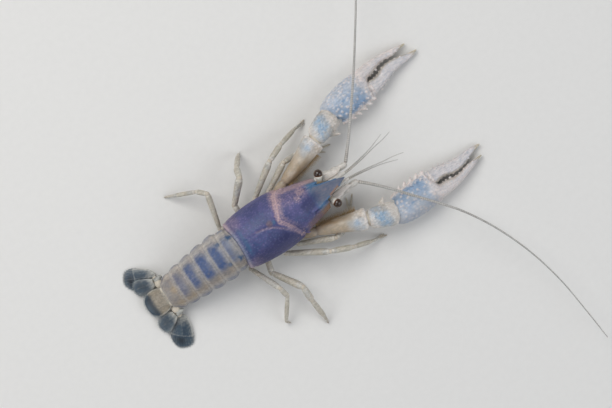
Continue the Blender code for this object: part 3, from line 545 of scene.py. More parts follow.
def shieldPoint(s, t):
    body, closed = capped(s)

    def onShell(turn):
        return shellPoint(rearOf(turn) * (1 - body) + faceOf(turn) * body, turn)

    return closedOff(carapace["profile"], ringPoint(onShell, t, carapace["arch"]), closed)


def rostrumPoint(s, t):
    body, closed = capped(s)
    x = -rostrum["length"] + rostrum["length"] * body
    half, top, thick = along(rostrum["profile"], x)
    across, level = oval(t)
    trough = rostrum["trough"] * max(level, 0) * (1 - across**2) * ease(half, 0.4, 3)
    lift = rostrum["rim"] * thick * across**6 - trough
    middle = top - thick / 2
    return Vector((x, 0, middle)).lerp(Vector((x, across * half, middle + level * thick / 2 + lift)), closed)


def turnAt(point):
    # How far round the shield a point lies, counted from the ridge of the back
    half, top, low = along(carapace["profile"], point.x)
    up = (point.z - low) / (top - low) * (1 - tuckLevel) + tuckLevel
    return math.atan2((point.y - middleAt(point.x)) / half, up)


def carapaceLook(point, normal):
    turn = turnAt(point)
    around = abs(turn)
    x, y = point.x, point.y
    onBack = ease(around, 2.3, 1.9)
    # the groove wanders a little, and runs forward as it goes down the flank
    slip = 0.35 * noise.noise(point * 0.9) - 3.4 * ease(around, 1.15, 2.1)
    slipped = point + Vector((slip, 0, 0))
    groove = trail(slipped, carapace["neck"], carapace["grooveHalf"]) ** 1.5 * onBack
    bed = trail(slipped - Vector((1.2, 0, 0)), carapace["neck"], 2.4) * onBack
    halo = trail(point, carapace["neck"], 3.6) * onBack
    forkLine = trail(point, carapace["fork"], 0.75) * ease(around, 1.25, 0.9)
    ridgeLine = math.exp(-((y - middleAt(x)) / 0.4) ** 2) * ease(x, -49, -46) * ease(x, -35.5, -37)
    fromRear = x - rearOf(turn)
    rimBead = hump(fromRear, 0.75, 0.85)
    onRostrum = ease(x, -17, -14)
    grain = grains(point, carapace["granule"])
    coarse = grains(point, 1.5) * ease(around, 0.75, 0.95) * ease(around, 1.75, 1.4) * hump(x, -26.5, 5.5)
    half = along(rostrum["profile"], x)[0]
    toRim = abs(y) / half
    margin = onRostrum * ease(toRim, 0.72, 0.92) * ease(toRim, 1.4, 1.15)
    smooth = 1 - max(groove, rimBead, onRostrum * 0.8)
    rise = (
        carapace["granuleRise"] * grain * smooth + 0.26 * coarse - carapace["grooveDepth"] * groove
        - 0.16 * forkLine - 0.12 * ridgeLine + 0.18 * rimBead - 0.14 * hump(fromRear, 1.9, 0.5)
        + 0.05 * noise.noise(point * 0.9)
    ) * onBack
    leftMargin = strip(point, -24, 9.9, -11.5, 7.3, 2.3) * ease(normal.z, -0.3, 0.5)
    rightMargin = strip(point, -24, -9.3, -10.5, -6.2, 2.6) * ease(x, -25, -21)
    ribs = 0.5 + 0.5 * math.sin(x * math.tau / 0.9 + y)
    rise += 0.07 * rightMargin * ribs
    speckle = 0.5 + noise.noise(point * 1.7)
    hem = ease(around, 1.15, 1.75)                  # the thin lower edge lets light through
    # the groove's pale is dimmed towards the right side as painted shade, and also down the flanks and along
    # the groove's middle on the left
    dimmedGroove = 1 - 0.2 * ease(y, 0, -2) - 0.45 * ease(y, -4.5, -8) - 0.2 * ease(around, 1.1, 1.8)
    dimmedGroove *= 1 - 0.3 * trail(point, carapace["neck"], 0.5) * ease(y, 1, 2)
    blue = (
        0.7 * hump(fromRear, 2.9, 1.7) * ease(around, 0.85, 0.25) + 1.1 * hump(fromRear, 0.5, 1.6)
        + 0.85 * spotAt(point, -33.5, 0.9, 1.3) + 0.25 * ridgeLine
        + 0.5 * strip(point, -46, -2.6, -36, -3.4, 4.6) * speckle
        + 0.4 * strip(point, -44, 4, -36, 5, 4) * speckle
        + 0.4 * strip(point, -24, -4, -19, -5, 3) * speckle + onRostrum
    )
    pale = (
        (groove * (0.3 + 0.3 * speckle) + 0.26 * bed * (0.6 + speckle)) * dimmedGroove
        + 0.4 * halo * ease(x + 0.35 * y, -31, -28) * ease(y, -4, 1) * (0.6 + 0.8 * speckle)
        + 0.36 * hump(fromRear, 0.5, 1.6) * (1 + 0.7 * ease(around, 0.5, 1.2)) + coarse + 0.8 * leftMargin
        # painted highlights: these two pale spots on the left of the head stand for glints of the lamp on the
        # gloss
        + (0.62 * spotAt(point, -18.2, 5.3, 2.4) + 0.4 * spotAt(point, -20.6, 3.2, 2.1)) * (0.35 + speckle)
        + 0.34 * forkLine + 0.15 * grain * grain * smooth + 0.3 * hem + 0.05 * ease(x, -3.5, -1)
        # painted highlight: the pale strip on the next line, along the left of the head, stands for a glossy
        # sheen
        + 0.22 * strip(point, -25, 5.5, -17, 4.5, 4.2) * (0.5 + speckle) + 0.28 * spotAt(point, -48, 9.5, 5)
        + 0.3 * spotAt(point, -47, -9.5, 4.5)
    )
    warm = (
        0.5 * spotAt(point, -35.3, 1.2, 2.0) + rightMargin * (0.45 + 0.4 * ribs) + 0.3 * leftMargin
        + 0.75 * strip(point, -8.5, -2.9, -4.5, -1.7, 0.8) + 0.25 * ease(around, 1.3, 2.0)
        + 0.38 * onRostrum * (1 - margin) * ease(x, -18, -12) + 0.18 * groove
    )
    dark = (
        0.62 * strip(point, -18.8, -1.4, -14.6, -0.2, 3.6) * (0.7 + 0.3 * speckle)
        # painted shade: the long dark strip low on the right flank on the next line, and the dark strip from
        # x -37 to -33 on the line after, stand for the shade on the animal's right side
        + 0.4 * spotAt(point, -11.7, -4.3, 1.2) + 0.5 * strip(point, -44, -9.5, -28, -9.0, 5.5)
        + 0.34 * (1 - grain) * smooth * ease(around, 1.8, 1.2) + 0.3 * strip(point, -37, -4, -33, -5, 3.5)
    )
    return rise, blue, pale, warm, dark * (1 - groove)


def makeCarapace():
    parts = [sheet(110, 150, shieldPoint), sheet(60, 48, rostrumPoint)]
    for sign in sideSign.values():
        for (x1, y1, z1), (x2, y2, z2), radius, blunt in carapace["spines"]:
            parts.append(thorn((x1, y1 * sign, z1), (x2, y2 * sign, z2), radius, blunt))
    bm = dress(fused(joined(parts), carapace["voxel"]), carapaceLook)
    finishPiece("carapace", bm, "carapace", ("head_shield", "thorax_shield"))


makeCarapace()
print("carapace made")


# Abdomen: six rings that overlap like tiles, each with side lobes

abdomen = {
    "edges": (-50.5, -56.0, -62.3, -68.7, -74.6, -80.0, -86.3),
    "profile": (                        # x, half width, height of the back, lower edge
        (-86.3, 4.9, 8.9, 2.9), (-84.5, 5.8, 9.8, 3.1), (-82.5, 6.9, 10.8, 3.4), (-80, 7.4, 12.3, 3.9),
        (-74.6, 7.9, 15.2, 5.2), (-68.7, 8.4, 18.0, 6.8), (-62.3, 8.8, 20.6, 8.7), (-56, 9.0, 22.9, 10.4),
        (-50, 8.9, 24.3, 11.6),
    ),
    "lobeOut": (0.3, 1.2, 1.1, 1.0, 0.9, 0.7), "lobeDown": (0.6, 2.0, 1.9, 1.7, 1.5, 0.9),
    # how far each plate slips under the one in front and reaches over the one behind
    "under": (1.4, 1, 1, 1, 1, 1), "over": (0.35, 0.35, 0.35, 0.35, 0.35, -0.1),
    "step": 0.955, "arch": 2.6,
    "spots": ((-52.2, 4.9, -4.5), (-57.3, 4.9, -4.5)),      # dark spots: x, y on the left, y on the right
    # blue bands across the back: how much of each plate from its rear edge, and how strong
    "bands": ((0.0, 0.0), (0.85, 1.1), (0.8, 1.15), (0.72, 1.1), (0.55, 0.95), (0.0, 0.0)),
}


def plateLook(index):
    front, rear = abdomen["edges"][index], abdomen["edges"][index + 1]
    reach, strength = abdomen["bands"][index]

    def lookAt(point, normal):
        x, y = point.x, point.y - middleAt(point.x)
        half, _, _ = along(abdomen["profile"], x)
        share = (front - x) / (front - rear)
        up = ease(normal.z, 0.1, 0.6)
        side = ease(abs(y) / half, 0.72, 0.95)
        furrow = hump(share, 0.28, 0.1) * up
        rise = 0.05 * hump(share, 0.93, 0.12) - 0.07 * furrow + 0.05 * grains(point, 0.8) * (1 - furrow)
        rise += 0.06 * noise.noise(point * 0.7)
        across = ease(y, -6.6, -2.6) * ease(y, 7.8, 3.8)
        band = ease(share, 1 - reach - 0.2, 1 - reach + 0.45) * ease(share, 1.04, 0.9) * strength
        broken = 0.85 + 0.4 * noise.noise(point * 0.9)
        lobe = ease(side, 0.5, 1.0) * ease(normal.z, 0.75, 0.35)
        blue = band * across * up * broken
        blue += 0.75 * lobe * hump(share, 0.55, 0.5) * (0.7 + noise.noise(point * 1.8))
        blue += 0.55 * up * hump(share, 0.8, 0.45) * across * (index == 0)
        # painted shadow: a thin dark band just behind the rim of the plate in front; the dark spots added
        # below are the shell's own
        dark = 0.2 * hump(share, 0.12, 0.08) * up
        if index in (0, 1):                 # three-cornered spots on the first plate, round ones behind
            mid, *places = abdomen["spots"][index]
            for at in places:
                offX, offY = x - mid + 0.5 * noise.noise(point * 1.1), y - at
                sideways, length = 0.83 * offX - 0.56 * offY, 0.56 * offX + 0.83 * offY
                sideways += 0.5 * noise.noise(point * 1.6)
                corner = ease(length, 1.5, 0.0) * ease(abs(sideways) - 0.62 * (length + 1.3), 0.75, -0.6)
                patch = corner if index == 0 else spotAt(point, mid, at + middleAt(x), 1.3)
                dark += (1.0 - 0.45 * index) * patch * ease(normal.z, -0.2, 0.3)
        pale = 0.42 * hump(share, 1.02, 0.24) + 0.4 * side * (1 - 0.6 * lobe)
        pale += 0.4 * hump(share, 0.08, 0.24) * up + 0.25 * ease(y, 4.5, 7) * up
        warm = 0.5 * ease(y, -3.2, -6.5) * (1 - lobe) + 0.3 * ease(normal.z, -0.2, -0.7)
        warm += 0.4 * (spotAt(point, -82, 0.8, 2.2) if index == 5 else 0)
        warm += 0.4 * ease(index, 2, 5) * up + 0.12 * up * hump(share, 0.2, 0.3) + 0.2 * ease(y, 4.5, 7) * up
        return rise * ease(normal.z, -0.6, 0), blue * (1 - pale * 0.5), pale * (1 - dark), warm, dark

    return lookAt


def makePlate(index):
    front, rear = abdomen["edges"][index], abdomen["edges"][index + 1]
    under, over = abdomen["under"][index], abdomen["over"][index]

    def pointAt(s, t):
        body, closed = capped(s, 0.03)
        x = front + under + body * (rear - over - front - under)
        share = min(max((front - x) / (front - rear), 0), 1)
        lobe = math.sin(math.pi * min(0.06 + 0.94 * share, 0.97)) ** 0.6
        swell = abdomen["step"] + (1 - abdomen["step"]) * ease(share, 0.02, 0.3)
        swell -= 0.035 * ease(x, front, front + 1)
        swell -= 0.022 * ease(x, rear + 0.7, rear - over)       # the rear edge thins to a lip

        def platePoint(turn):
            here = x - (carapace["rearSweep"] * math.sin(turn) ** 2 * (1 - share) if index == 0 else 0)
            half, top, low = along(abdomen["profile"], here)
            low -= abdomen["lobeDown"][index] * lobe
            half = half * swell + abdomen["lobeOut"][index] * lobe * math.sin(turn) ** 2
            up = swell * (top - low) * (math.cos(turn) - tuckLevel) / (1 - tuckLevel)
            return Vector((here, middleAt(here) + half * math.sin(turn), low + up))

        return closedOff(abdomen["profile"], ringPoint(platePoint, t, abdomen["arch"]), closed)

    parts = [dress(sheet(54, 170, pointAt), plateLook(index))]
    if index not in (0, 5):             # the middle rings carry a pair of paddles below
        middle = (front + rear) / 2
        half, _, low = along(abdomen["profile"], middle)
        for sign in sideSign.values():
            hip = Vector((middle, middleAt(middle) + 0.52 * half * sign, low + 0.9))
            paddle = limb((
                (hip + Vector((0.6, 0, 1.6)), 0.6, 0.8), (hip + Vector((0, 0, -0.6)), 0.55, 0.8),
                (hip + Vector((-0.9, -0.5 * sign, -1.9)), 0.4, 0.95),
                (hip + Vector((-2.0, -1.0 * sign, -2.8)), 0.25, 0.4),
            ), 26, 16)
            parts.append(dress(paddle, lambda point, normal: (0.02 * noise.noise(point * 3), 0, 0.6, 0.2, 0)))
    finishNode(f"abdomen_{index + 1}", "plate", joined(parts), "abdomen")


for plateIndex in range(6):
    makePlate(plateIndex)
print("abdomen made")


# Tail fan: the telson and two blades on each side, ribbed and fringed

tailFan = {
    "telson": (                         # share of its length, half width, thickness
        (0, 4.3, 2.4), (0.18, 5.1, 2.2), (0.45, 5.45, 1.6), (0.66, 5.2, 1.3),
        (0.82, 4.4, 1.1), (0.92, 3.3, 1.0), (0.97, 2.2, 0.9), (0.99, 1.3, 0.8), (1.0, 0.3, 0.7),
    ),
    "inner": (                          # share of length, inner width, outer width, thickness
        (0, 1.4, 1.5, 1.0), (0.12, 2.1, 2.2, 1.0), (0.3, 2.9, 2.9, 0.9), (0.5, 3.3, 3.4, 0.9),
        (0.7, 3.2, 3.6, 0.8), (0.85, 2.6, 3.2, 0.8), (0.94, 1.8, 2.3, 0.7), (0.985, 0.9, 1.2, 0.6),
        (1.0, 0.15, 0.2, 0.6),
    ),
    "outer": (
        (0, 1.3, 1.4, 1.1), (0.11, 2.2, 2.9, 1.0), (0.38, 4.0, 4.1, 0.9), (0.6, 4.9, 4.5, 0.8),
        (0.66, 4.8, 4.5, 0.8), (0.68, 4.7, 4.4, 0.6), (0.8, 4.1, 4.2, 0.6), (0.9, 3.1, 3.5, 0.55),
        (0.96, 2.1, 2.4, 0.5), (0.987, 1.2, 1.4, 0.5), (1.0, 0.15, 0.2, 0.5),
    ),
    "reach": {                          # each blade from its root to its tip
        ("left", "inner"): ((-87.4, 7.75, 4.15), (-95.8, 9.2, 1.7)),
        ("left", "outer"): ((-85.5, 9.4, 2.25), (-97.3, 14.9, 0.3)),
        ("right", "inner"): ((-87.4, 7.55, 4.15), (-95.4, 9.0, 1.7)),
        ("right", "outer"): ((-85.6, 9.0, 2.25), (-92.3, 20.6, 0.3)),
    },
    "lift": {"inner": 0.08, "outer": 0.03}, "skew": 0.07, "ribs": 15, "ribRise": 0.016,
    "fringe": 0.8, "fringeCount": {"blade": 190, "telson": 150}, "bristle": 0.032,
    "suture": {"inner": 2, "outer": 0.65},      # share of the blade; past 1 it has none
    "telsonRoot": -86.4, "telsonLength": 9.2,
}


def bladePlace(side, blade):
    root, tip = (Vector(point) for point in tailFan["reach"][side, blade])
    run = (tip - root).normalized()
    across = upward.cross(run).normalized()
    if across.y < 0:
        across.negate()
    across = (across + upward * tailFan["lift"][blade]).normalized()
    up = run.cross(across)
    if up.z < 0:
        up.negate()
    return root, tip, across, up


def makeBlade(side, blade):
    root, tip, across, up = bladePlace(side, blade)
    length = (tip - root).length
    run = (tip - root) / length
    node = f"fan_{blade}_{side}"

    def flatPoint(share, reach, level):
        inner, outer, thick = along(tailFan[blade], share)
        back = share + tailFan["skew"] * reach * math.sin(math.pi * share)
        width = outer if reach > 0 else inner
        return root.lerp(tip, back) + across * width * reach + up * level * thick / 2

    def pointAt(s, t):
        body, closed = capped(s)
        reach, level = oval(t, 1, 0.7)
        return flatPoint(body, 0, 0).lerp(flatPoint(body, reach, level), closed)

    def lookAt(point, normal):
        offset = point - root
        share, sideways = offset.dot(run) / length, offset.dot(across)
        inner, outer, _ = along(tailFan[blade], min(max(share, 0), 1))
        reach = sideways / (outer if sideways > 0 else inner)
        above = 1 if normal.dot(up) > 0 else 0.5
        fan = math.atan2(sideways, share * length + 3.5)
        ribs = math.sin(fan * tailFan["ribs"] * math.tau) * ease(share, 0.1, 0.35)
        keel = hump(sideways, 0, 0.55) * ease(share, 0.95, 0.7)
        cut = share - 0.06 * reach + 0.04 * reach**2 - tailFan["suture"][blade]
        step = math.exp(-(cut / 0.022) ** 2)
        beyond = ease(cut, -0.02, 0.04)
        rise = tailFan["ribRise"] * ribs + 0.08 * keel - 0.07 * step + 0.04 * noise.noise(point)
        edge = 0.6 * ease(abs(reach), 0.35, 1.0) + 0.4 * ease(abs(reach), 0.82, 1.0)
        tipEdge = ease(share, 0.93, 1.01)
        base = ease(share + 0.05 * noise.noise(point * 0.8), 0.42, -0.05)
        outerLine = hump(reach, 0.93, 0.16) * ease(cut, 0.03, -0.03) * (blade == "outer")
        pale = 0.7 * base + 0.1 * keel * (1 - beyond) + 0.24 * step + 0.42 * edge * (1 - 0.4 * beyond)
        # painted highlight on the rib crests, beside the blade's own pale base, edges and tip
        pale += 0.1 * max(ribs, 0) + 0.34 * tipEdge + 0.4 * outerLine
        blue = 0.5 * (1 - base) * (0.6 + noise.noise(point * 0.5))
        # painted shade in the rib troughs, beside the blade's own dark patch beyond the hinge line
        dark = 0.75 * beyond * hump(reach, -0.15, 0.95) * hump(cut, 0.14, 0.24) + 0.1 * max(-ribs, 0)
        dark += 0.35 * hump(reach, 0.1, 0.8) * hump(share, 0.55, 0.45) * (blade == "inner")
        warm = 0.25 * base + 0.2 * (above < 1)
        return rise * above, blue, pale, warm, dark * (1 - step) * (1 - 0.7 * tipEdge)

    finishNode(node, "blade", dress(sheet(120, 110, pointAt), lookAt), "tail_fan", side)

    def rootAt(q):
        turn = math.pi * 1.1 * (q - 0.5)
        point = flatPoint(0.55 + 0.45 * math.cos(turn), math.copysign(0.97, turn), 0)
        way = (point - root.lerp(tip, 0.25)).normalized()
        return point, way * tailFan["fringe"] * (0.75 + 0.25 * math.sin(q * 90))

    fringe = bristles(tailFan["fringeCount"]["blade"], rootAt, tailFan["bristle"])
    finishPiece(f"{node}.fringe", fringe, "tail_fan", (), side, "slateBristle")


def telsonLine(share):
    # x and height of the telson's middle line
    return tailFan["telsonRoot"] - tailFan["telsonLength"] * share, 6.6 - 4.1 * share**0.92


def makeTelson():
    def pointAt(s, t):
        body, closed = capped(s)
        half, thick = along(tailFan["telson"], body)
        x, z = telsonLine(body)
        across, level = oval(t, 1, 0.75)
        dome = (0.3 + 0.4 * (1 - body)) * (1 - across**2)
        point = Vector((x, middleAt(x) + across * half, z + level * thick / 2 + dome))
        return Vector((x, middleAt(x), z)).lerp(point, closed)

    def lookAt(point, normal):
        share = (tailFan["telsonRoot"] - point.x) / tailFan["telsonLength"]
        y = point.y - middleAt(point.x)
        half, _ = along(tailFan["telson"], min(max(share, 0), 1))
        ridge = math.exp(-((abs(y) / half - 0.5 + 0.2 * share) / 0.12) ** 2) * ease(share, 0.62, 0.4)
        cut = share - 0.63 - 0.03 * math.cos(y)
        step = math.exp(-(cut / 0.02) ** 2)
        beyond = ease(cut, -0.01, 0.02)
        ribs = math.sin(math.atan2(y, share * tailFan["telsonLength"]) * 40) * beyond
        rise = 0.07 * ridge - 0.04 * step + 0.02 * ribs + 0.05 * grains(point, 0.9) * (1 - beyond)
        slate = ease(cut + 0.05 * noise.noise(point * 0.7), -0.16, 0.12)
        rim = max(ease(abs(y) / half, 0.84, 0.98), ease(share, 0.93, 1.0))
        pale = 0.16 + 0.06 * ridge + 0.08 * step + 0.4 * rim + 0.3 * ease(share, 0.14, 0) - 0.2 * slate
        warm = 0.8 * (1 - slate)
        # a dark band across the slate part by the hinge line: dark pigment, with the soft shadow behind that
        # line painted into it
        dark = 0.62 * hump(share, 0.72, 0.2) * (1 - rim) * ease(abs(y) / half, 0.95, 0.6)
        return rise * ease(normal.z, -0.2, 0.3), 0.4 * slate, pale, warm, dark

    parts = [dress(sheet(110, 120, pointAt), lookAt)]
    for sign in sideSign.values():
        root = Vector((-91.6, middleAt(-91.6) + 4.7 * sign, 4.1))
        thorns = thorn(root, root + Vector((-1.6, 0.4 * sign, -0.6)), 0.35)
        parts.append(dress(thorns, lambda point, normal: (0, 0, 0.9, 0.2, 0)))
    finishNode("telson", "plate", joined(parts), "tail_fan")

    def rootAt(q):
        turn = math.pi * (q - 0.5) * 1.05
        share = 0.66 + 0.34 * math.cos(turn)
        half, _ = along(tailFan["telson"], share)
        x, z = telsonLine(share)
        point = Vector((x, middleAt(x) + half * math.copysign(0.97, turn), z))
        return point, (point - Vector((-90, 0.2, 5.0))).normalized() * tailFan["fringe"]

    fringe = bristles(tailFan["fringeCount"]["telson"], rootAt, tailFan["bristle"])
    finishPiece("telson.fringe", fringe, "tail_fan", finish="slateBristle")


def makeTailSkin():
    # Pale skin that closes the joints between the last ring, the telson and the blades
    folds = [bulb((-86.3, 0.3, 6.95), (1.1, 4.4, 1.45))]
    for sign in sideSign.values():
        folds.append(bulb((-85.9, 5.9 * sign + 0.2, 4.7), (1.7, 2.2, 1.1)))
        folds.append(bulb((-86.2, 8.3 * sign, 3.2), (1.3, 1.5, 0.9)))
    finishPiece("tail_joints", joined(folds), "tail_fan", finish="jointSkin")


makeTelson()
makeTailSkin()
for tailSide in sideSign:
    for tailBlade in ("inner", "outer"):
        makeBlade(tailSide, tailBlade)
    baseNode = f"fan_base_{tailSide}"
    fanBase = fused(copyOfNode(baseNode), 0.14, 8)
    dress(fanBase, lambda point, normal: (0.07 + 0.04 * grains(point, 0.8), 0.1, 0.75, 0.2, 0))
    finishNode(baseNode, "joint", fanBase, "tail_fan")
print("tail fan made")


# Claws: palm with its fixed finger, and the movable finger

claw = {
    "wrist": {"left": (9.0, 23.6, 0.0), "right": (9.0, 23.2, 0.0)},
    "yaw": {"left": 7.2, "right": -2.8}, "fingerYaw": {"left": -1.2, "right": 1.0},
    "hinge": (20.5, -3.0, 0.0),
    # u along the claw from the wrist, slant, inner edge, outer edge, bottom, top
    "palm": (
        (0.0, -0.59, -3.3, 3.6, 4.5, 9.6), (1.2, -0.5, -5.0, 4.9, 2.8, 10.3),
        (3.4, -0.3, -5.8, 6.3, 1.0, 10.8), (7.0, -0.1, -5.95, 7.2, -0.1, 10.9),
        (11.5, 0, -6.1, 7.5, -0.2, 10.4), (16.0, 0, -6.0, 7.35, -0.2, 9.5),
        (18.2, 0, -5.7, 7.25, -0.05, 8.9), (19.6, 0, -2.4, 7.15, 0.1, 8.4), (21.0, 0, 1.2, 7.0, 0.3, 7.8),
        (24.0, 0, 1.9, 6.9, 0.5, 7.0), (28.0, 0, 2.8, 6.45, 0.6, 6.1), (31.0, 0, 2.8, 5.8, 0.7, 5.4),
        (35.0, 0, 1.95, 4.7, 0.8, 4.5), (39.0, 0, 2.0, 3.5, 0.9, 3.3), (42.0, 0, 2.15, 2.6, 1.1, 2.1),
    ),
    "finger": (
        (20.4, 0.4, -5.2, 0.2, 1.6, 7.1), (20.9, 0.384, -5.7, 0.6, 1.2, 7.4),
        (22.9, 0.25, -5.2, 0.1, 0.9, 7.1), (25.2, 0.1, -4.8, 0.15, 0.7, 6.6),
        (28.3, 0, -3.85, 1.25, 0.7, 6.0),
        (31.0, 0, -3.25, 1.5, 0.7, 5.4), (35.0, 0, -3.15, 0.8, 0.7, 4.5), (39.0, 0, -3.2, -0.5, 0.8, 3.4),
        (42.0, 0, -2.95, -1.5, 1.0, 2.6), (44.0, 0, -2.4, -1.85, 1.1, 2.0),
    ),
    "palmTeeth": (                      # u, how far it stands out, radius
        (22.9, 0.45, 0.55), (24.3, 0.5, 0.6), (26.2, 1.0, 0.8), (28.6, 0.35, 0.45), (30.4, 0.4, 0.5),
        (32.8, 0.4, 0.5), (35.2, 0.25, 0.4), (37.4, 0.25, 0.35),
    ),
    "fingerTeeth": (
        (23.4, 0.4, 0.5), (25.0, 0.35, 0.5), (26.7, 0.3, 0.5), (28.4, 0.4, 0.5), (30.6, 0.3, 0.5),
        (32.7, 0.3, 0.5), (34.8, 0.3, 0.5), (37.0, 0.25, 0.5),
    ),
    "edgeTeeth": ((5.0, -6.9), (7.6, -7.8), (10.4, -8.1), (13.3, -8.0), (16.2, -7.7), (18.8, -7.2)),
    "fullness": 0.85, "voxel": 0.21, "tubercle": 1.55, "tubercleRise": 0.34, "pitStep": 0.95,
}


def clawPoint(stations, s, t):
    body, closed = capped(s, 0.015)
    u = stations[0][0] + (stations[-1][0] - stations[0][0]) * body
    slant, inner, outer, bottom, top = along(stations, u)
    wide, high = oval(t, claw["fullness"], claw["fullness"])
    v = (inner + outer) / 2 + (outer - inner) / 2 * wide * closed
    level = (top + bottom) / 2 + (top - bottom) / 2 * high * closed
    return Vector((u + slant * v, v, max(level, 0.02)))


def palmTop(u, share):
    # On the upper side of the palm, a share of the way from its inner to its outer edge
    _, inner, outer, bottom, top = along(claw["palm"], u)
    reach = abs(2 * share - 1) ** (1 / claw["fullness"])
    level = math.sqrt(max(1 - reach**2, 0)) ** claw["fullness"]
    return Vector((u, inner + (outer - inner) * share, (top + bottom) / 2 + level * (top - bottom) / 2))


def pitRowsAt(u, across, lines, thin):
    # Rows of pits along a finger
    beat = 0.5 + 0.5 * math.sin(u * math.tau / claw["pitStep"])
    return sum(math.exp(-((across - line) / thin) ** 2) * beat for line in lines)


def palmLook(side):
    # painted shade: the right claw is drawn darker and less blue, as if it lay in shade
    paintedLightShare = 1 if side == "left" else 0.85

    def lookAt(point, normal):
        u, v = point.x, point.y
        _, inner, outer, _, _ = along(claw["palm"], u)
        across = (v - inner) / max(outer - inner, 0.5)
        onPalm = ease(u, 20.5, 17.5)
        upper = ease(normal.z, -0.5, 0.2)
        bead = grains(point, claw["tubercle"])
        small = grains(point + Vector((7, 3, 1)), 0.95)
        onTooth = ease(across, 0.045, -0.02) * onPalm
        knobs = bead * onPalm * (0.55 + 0.45 * ease(across, 0.7, 0.25)) * ease(u, 0.5, 2.5) * (1 - onTooth)
        pitRows = pitRowsAt(u, across, (0.28, 0.5, 0.72), 0.05)
        onFinger = 1 - onPalm
        rise = (claw["tubercleRise"] * knobs + 0.08 * small * onPalm) * (0.45 + 0.55 * upper)
        rise += onFinger * (0.04 * small - 0.08 * pitRows) + 0.06 * noise.noise(point * 0.5)
        tip = ease(u, 37.0, 41)
        biting = ease(across, 0.4, 0.05) * onFinger * ease(abs(normal.z), 1.0, 0.6)
        cloudy = 0.85 + 0.6 * noise.noise(point * 0.35)
        blue = onPalm * (0.6 * ease(across, 0.8, 0.2) + 0.12) * paintedLightShare * cloudy
        blue = blue * (1 - 0.8 * ease(u, 14.0, 18.0)) + 0.5 * hump(v, 1.0, 0.75) * hump(u, 8.5, 4.5) * upper
        blue += 0.35 * spotAt(point, 14.5, -2.6, 3.2) * upper
        pale = 0.8 * knobs + 0.7 * ease(u, 15.0, 19.5) * (1 - tip) + 0.35 * ease(across, 0.12, 0.0) * onPalm
        pale += 0.2 * small * onFinger + 0.3 * small * onPalm * ease(across, 0.4, 0.8)
        pale += 0.2 * ease(across, 0.5, 0.9) + onTooth
        warm = 0.55 * tip + 0.5 * biting + 0.12 * onFinger
        warm += 0.2 * ease(normal.z, 0, -0.6) + 0.15 * hump(u, 0.5, 2)
        # painted shade on the right claw: a darker outer half of the palm and a darker finger
        dark = 0.15 * pitRows * onFinger + (1 - paintedLightShare) * (2.2 * hump(v, 5.6, 4.5) * onPalm + 0.9 * onFinger)
        return rise, blue * upper * (1 - onTooth), pale, warm, dark

    return lookAt


def fingerLook(point, normal):
    u, v = point.x, point.y
    _, inner, outer, _, _ = along(claw["finger"], u)
    across = (v - inner) / max(outer - inner, 0.5)
    small = grains(point, 0.85)
    pitRows = pitRowsAt(u, across, (0.3, 0.6), 0.06)
    biting = ease(across, 0.62, 0.95) * ease(abs(normal.z), 1.0, 0.6)
    tip = ease(u, 39.5, 43)
    knobs = grains(point, 1.3) * ease(across, 0.35, 0.12) * ease(u, 36, 31)
    rise = 0.05 * small - 0.08 * pitRows + 0.2 * knobs + 0.05 * noise.noise(point * 0.5)
    pale = 0.62 + 0.3 * knobs - 0.4 * biting - 0.4 * tip
    return rise, 0.12 * ease(u, 30, 22), pale, 0.6 * tip + 0.45 * biting + 0.12, 0.15 * pitRows


def whiteLook(point, normal):
    # Bare spines: white horn with a warmer foot
    return 0, 0, 0.85, 0.25 + 0.2 * noise.noise(point * 1.5), 0


def bitingTeeth(piece, edge, out, level, bareCount):
    # Blunt teeth on a biting edge, and the white tops of the first few
    teeth, tops = [], []
    for u, reach, radius in claw[piece + "Teeth"]:
        rim = along(claw[piece], u)[edge]
        teeth.append(thorn((u, rim - 0.4 * out, level), (u, rim + reach * out, level), radius, 0.55))
        if len(tops) < bareCount:
            top = (u, rim + reach * 0.35 * out, level)
            tops.append(bulb(top, (radius * 0.8, 0.1 + reach * 0.6, radius * 0.9), 8))
    return teeth, tops


def finishClaw(node, parts, look, bare, place, side):
    # Fuses the parts, lays the bare white horn over them and turns the whole into its place
    shell = dress(fused(joined(parts), claw["voxel"]), look)
    whole = joined([shell] + [dress(horn, whiteLook) for horn in bare])
    bmesh.ops.transform(whole, matrix=place, verts=whole.verts)
    finishNode(node, "shell", whole, "claw", side)


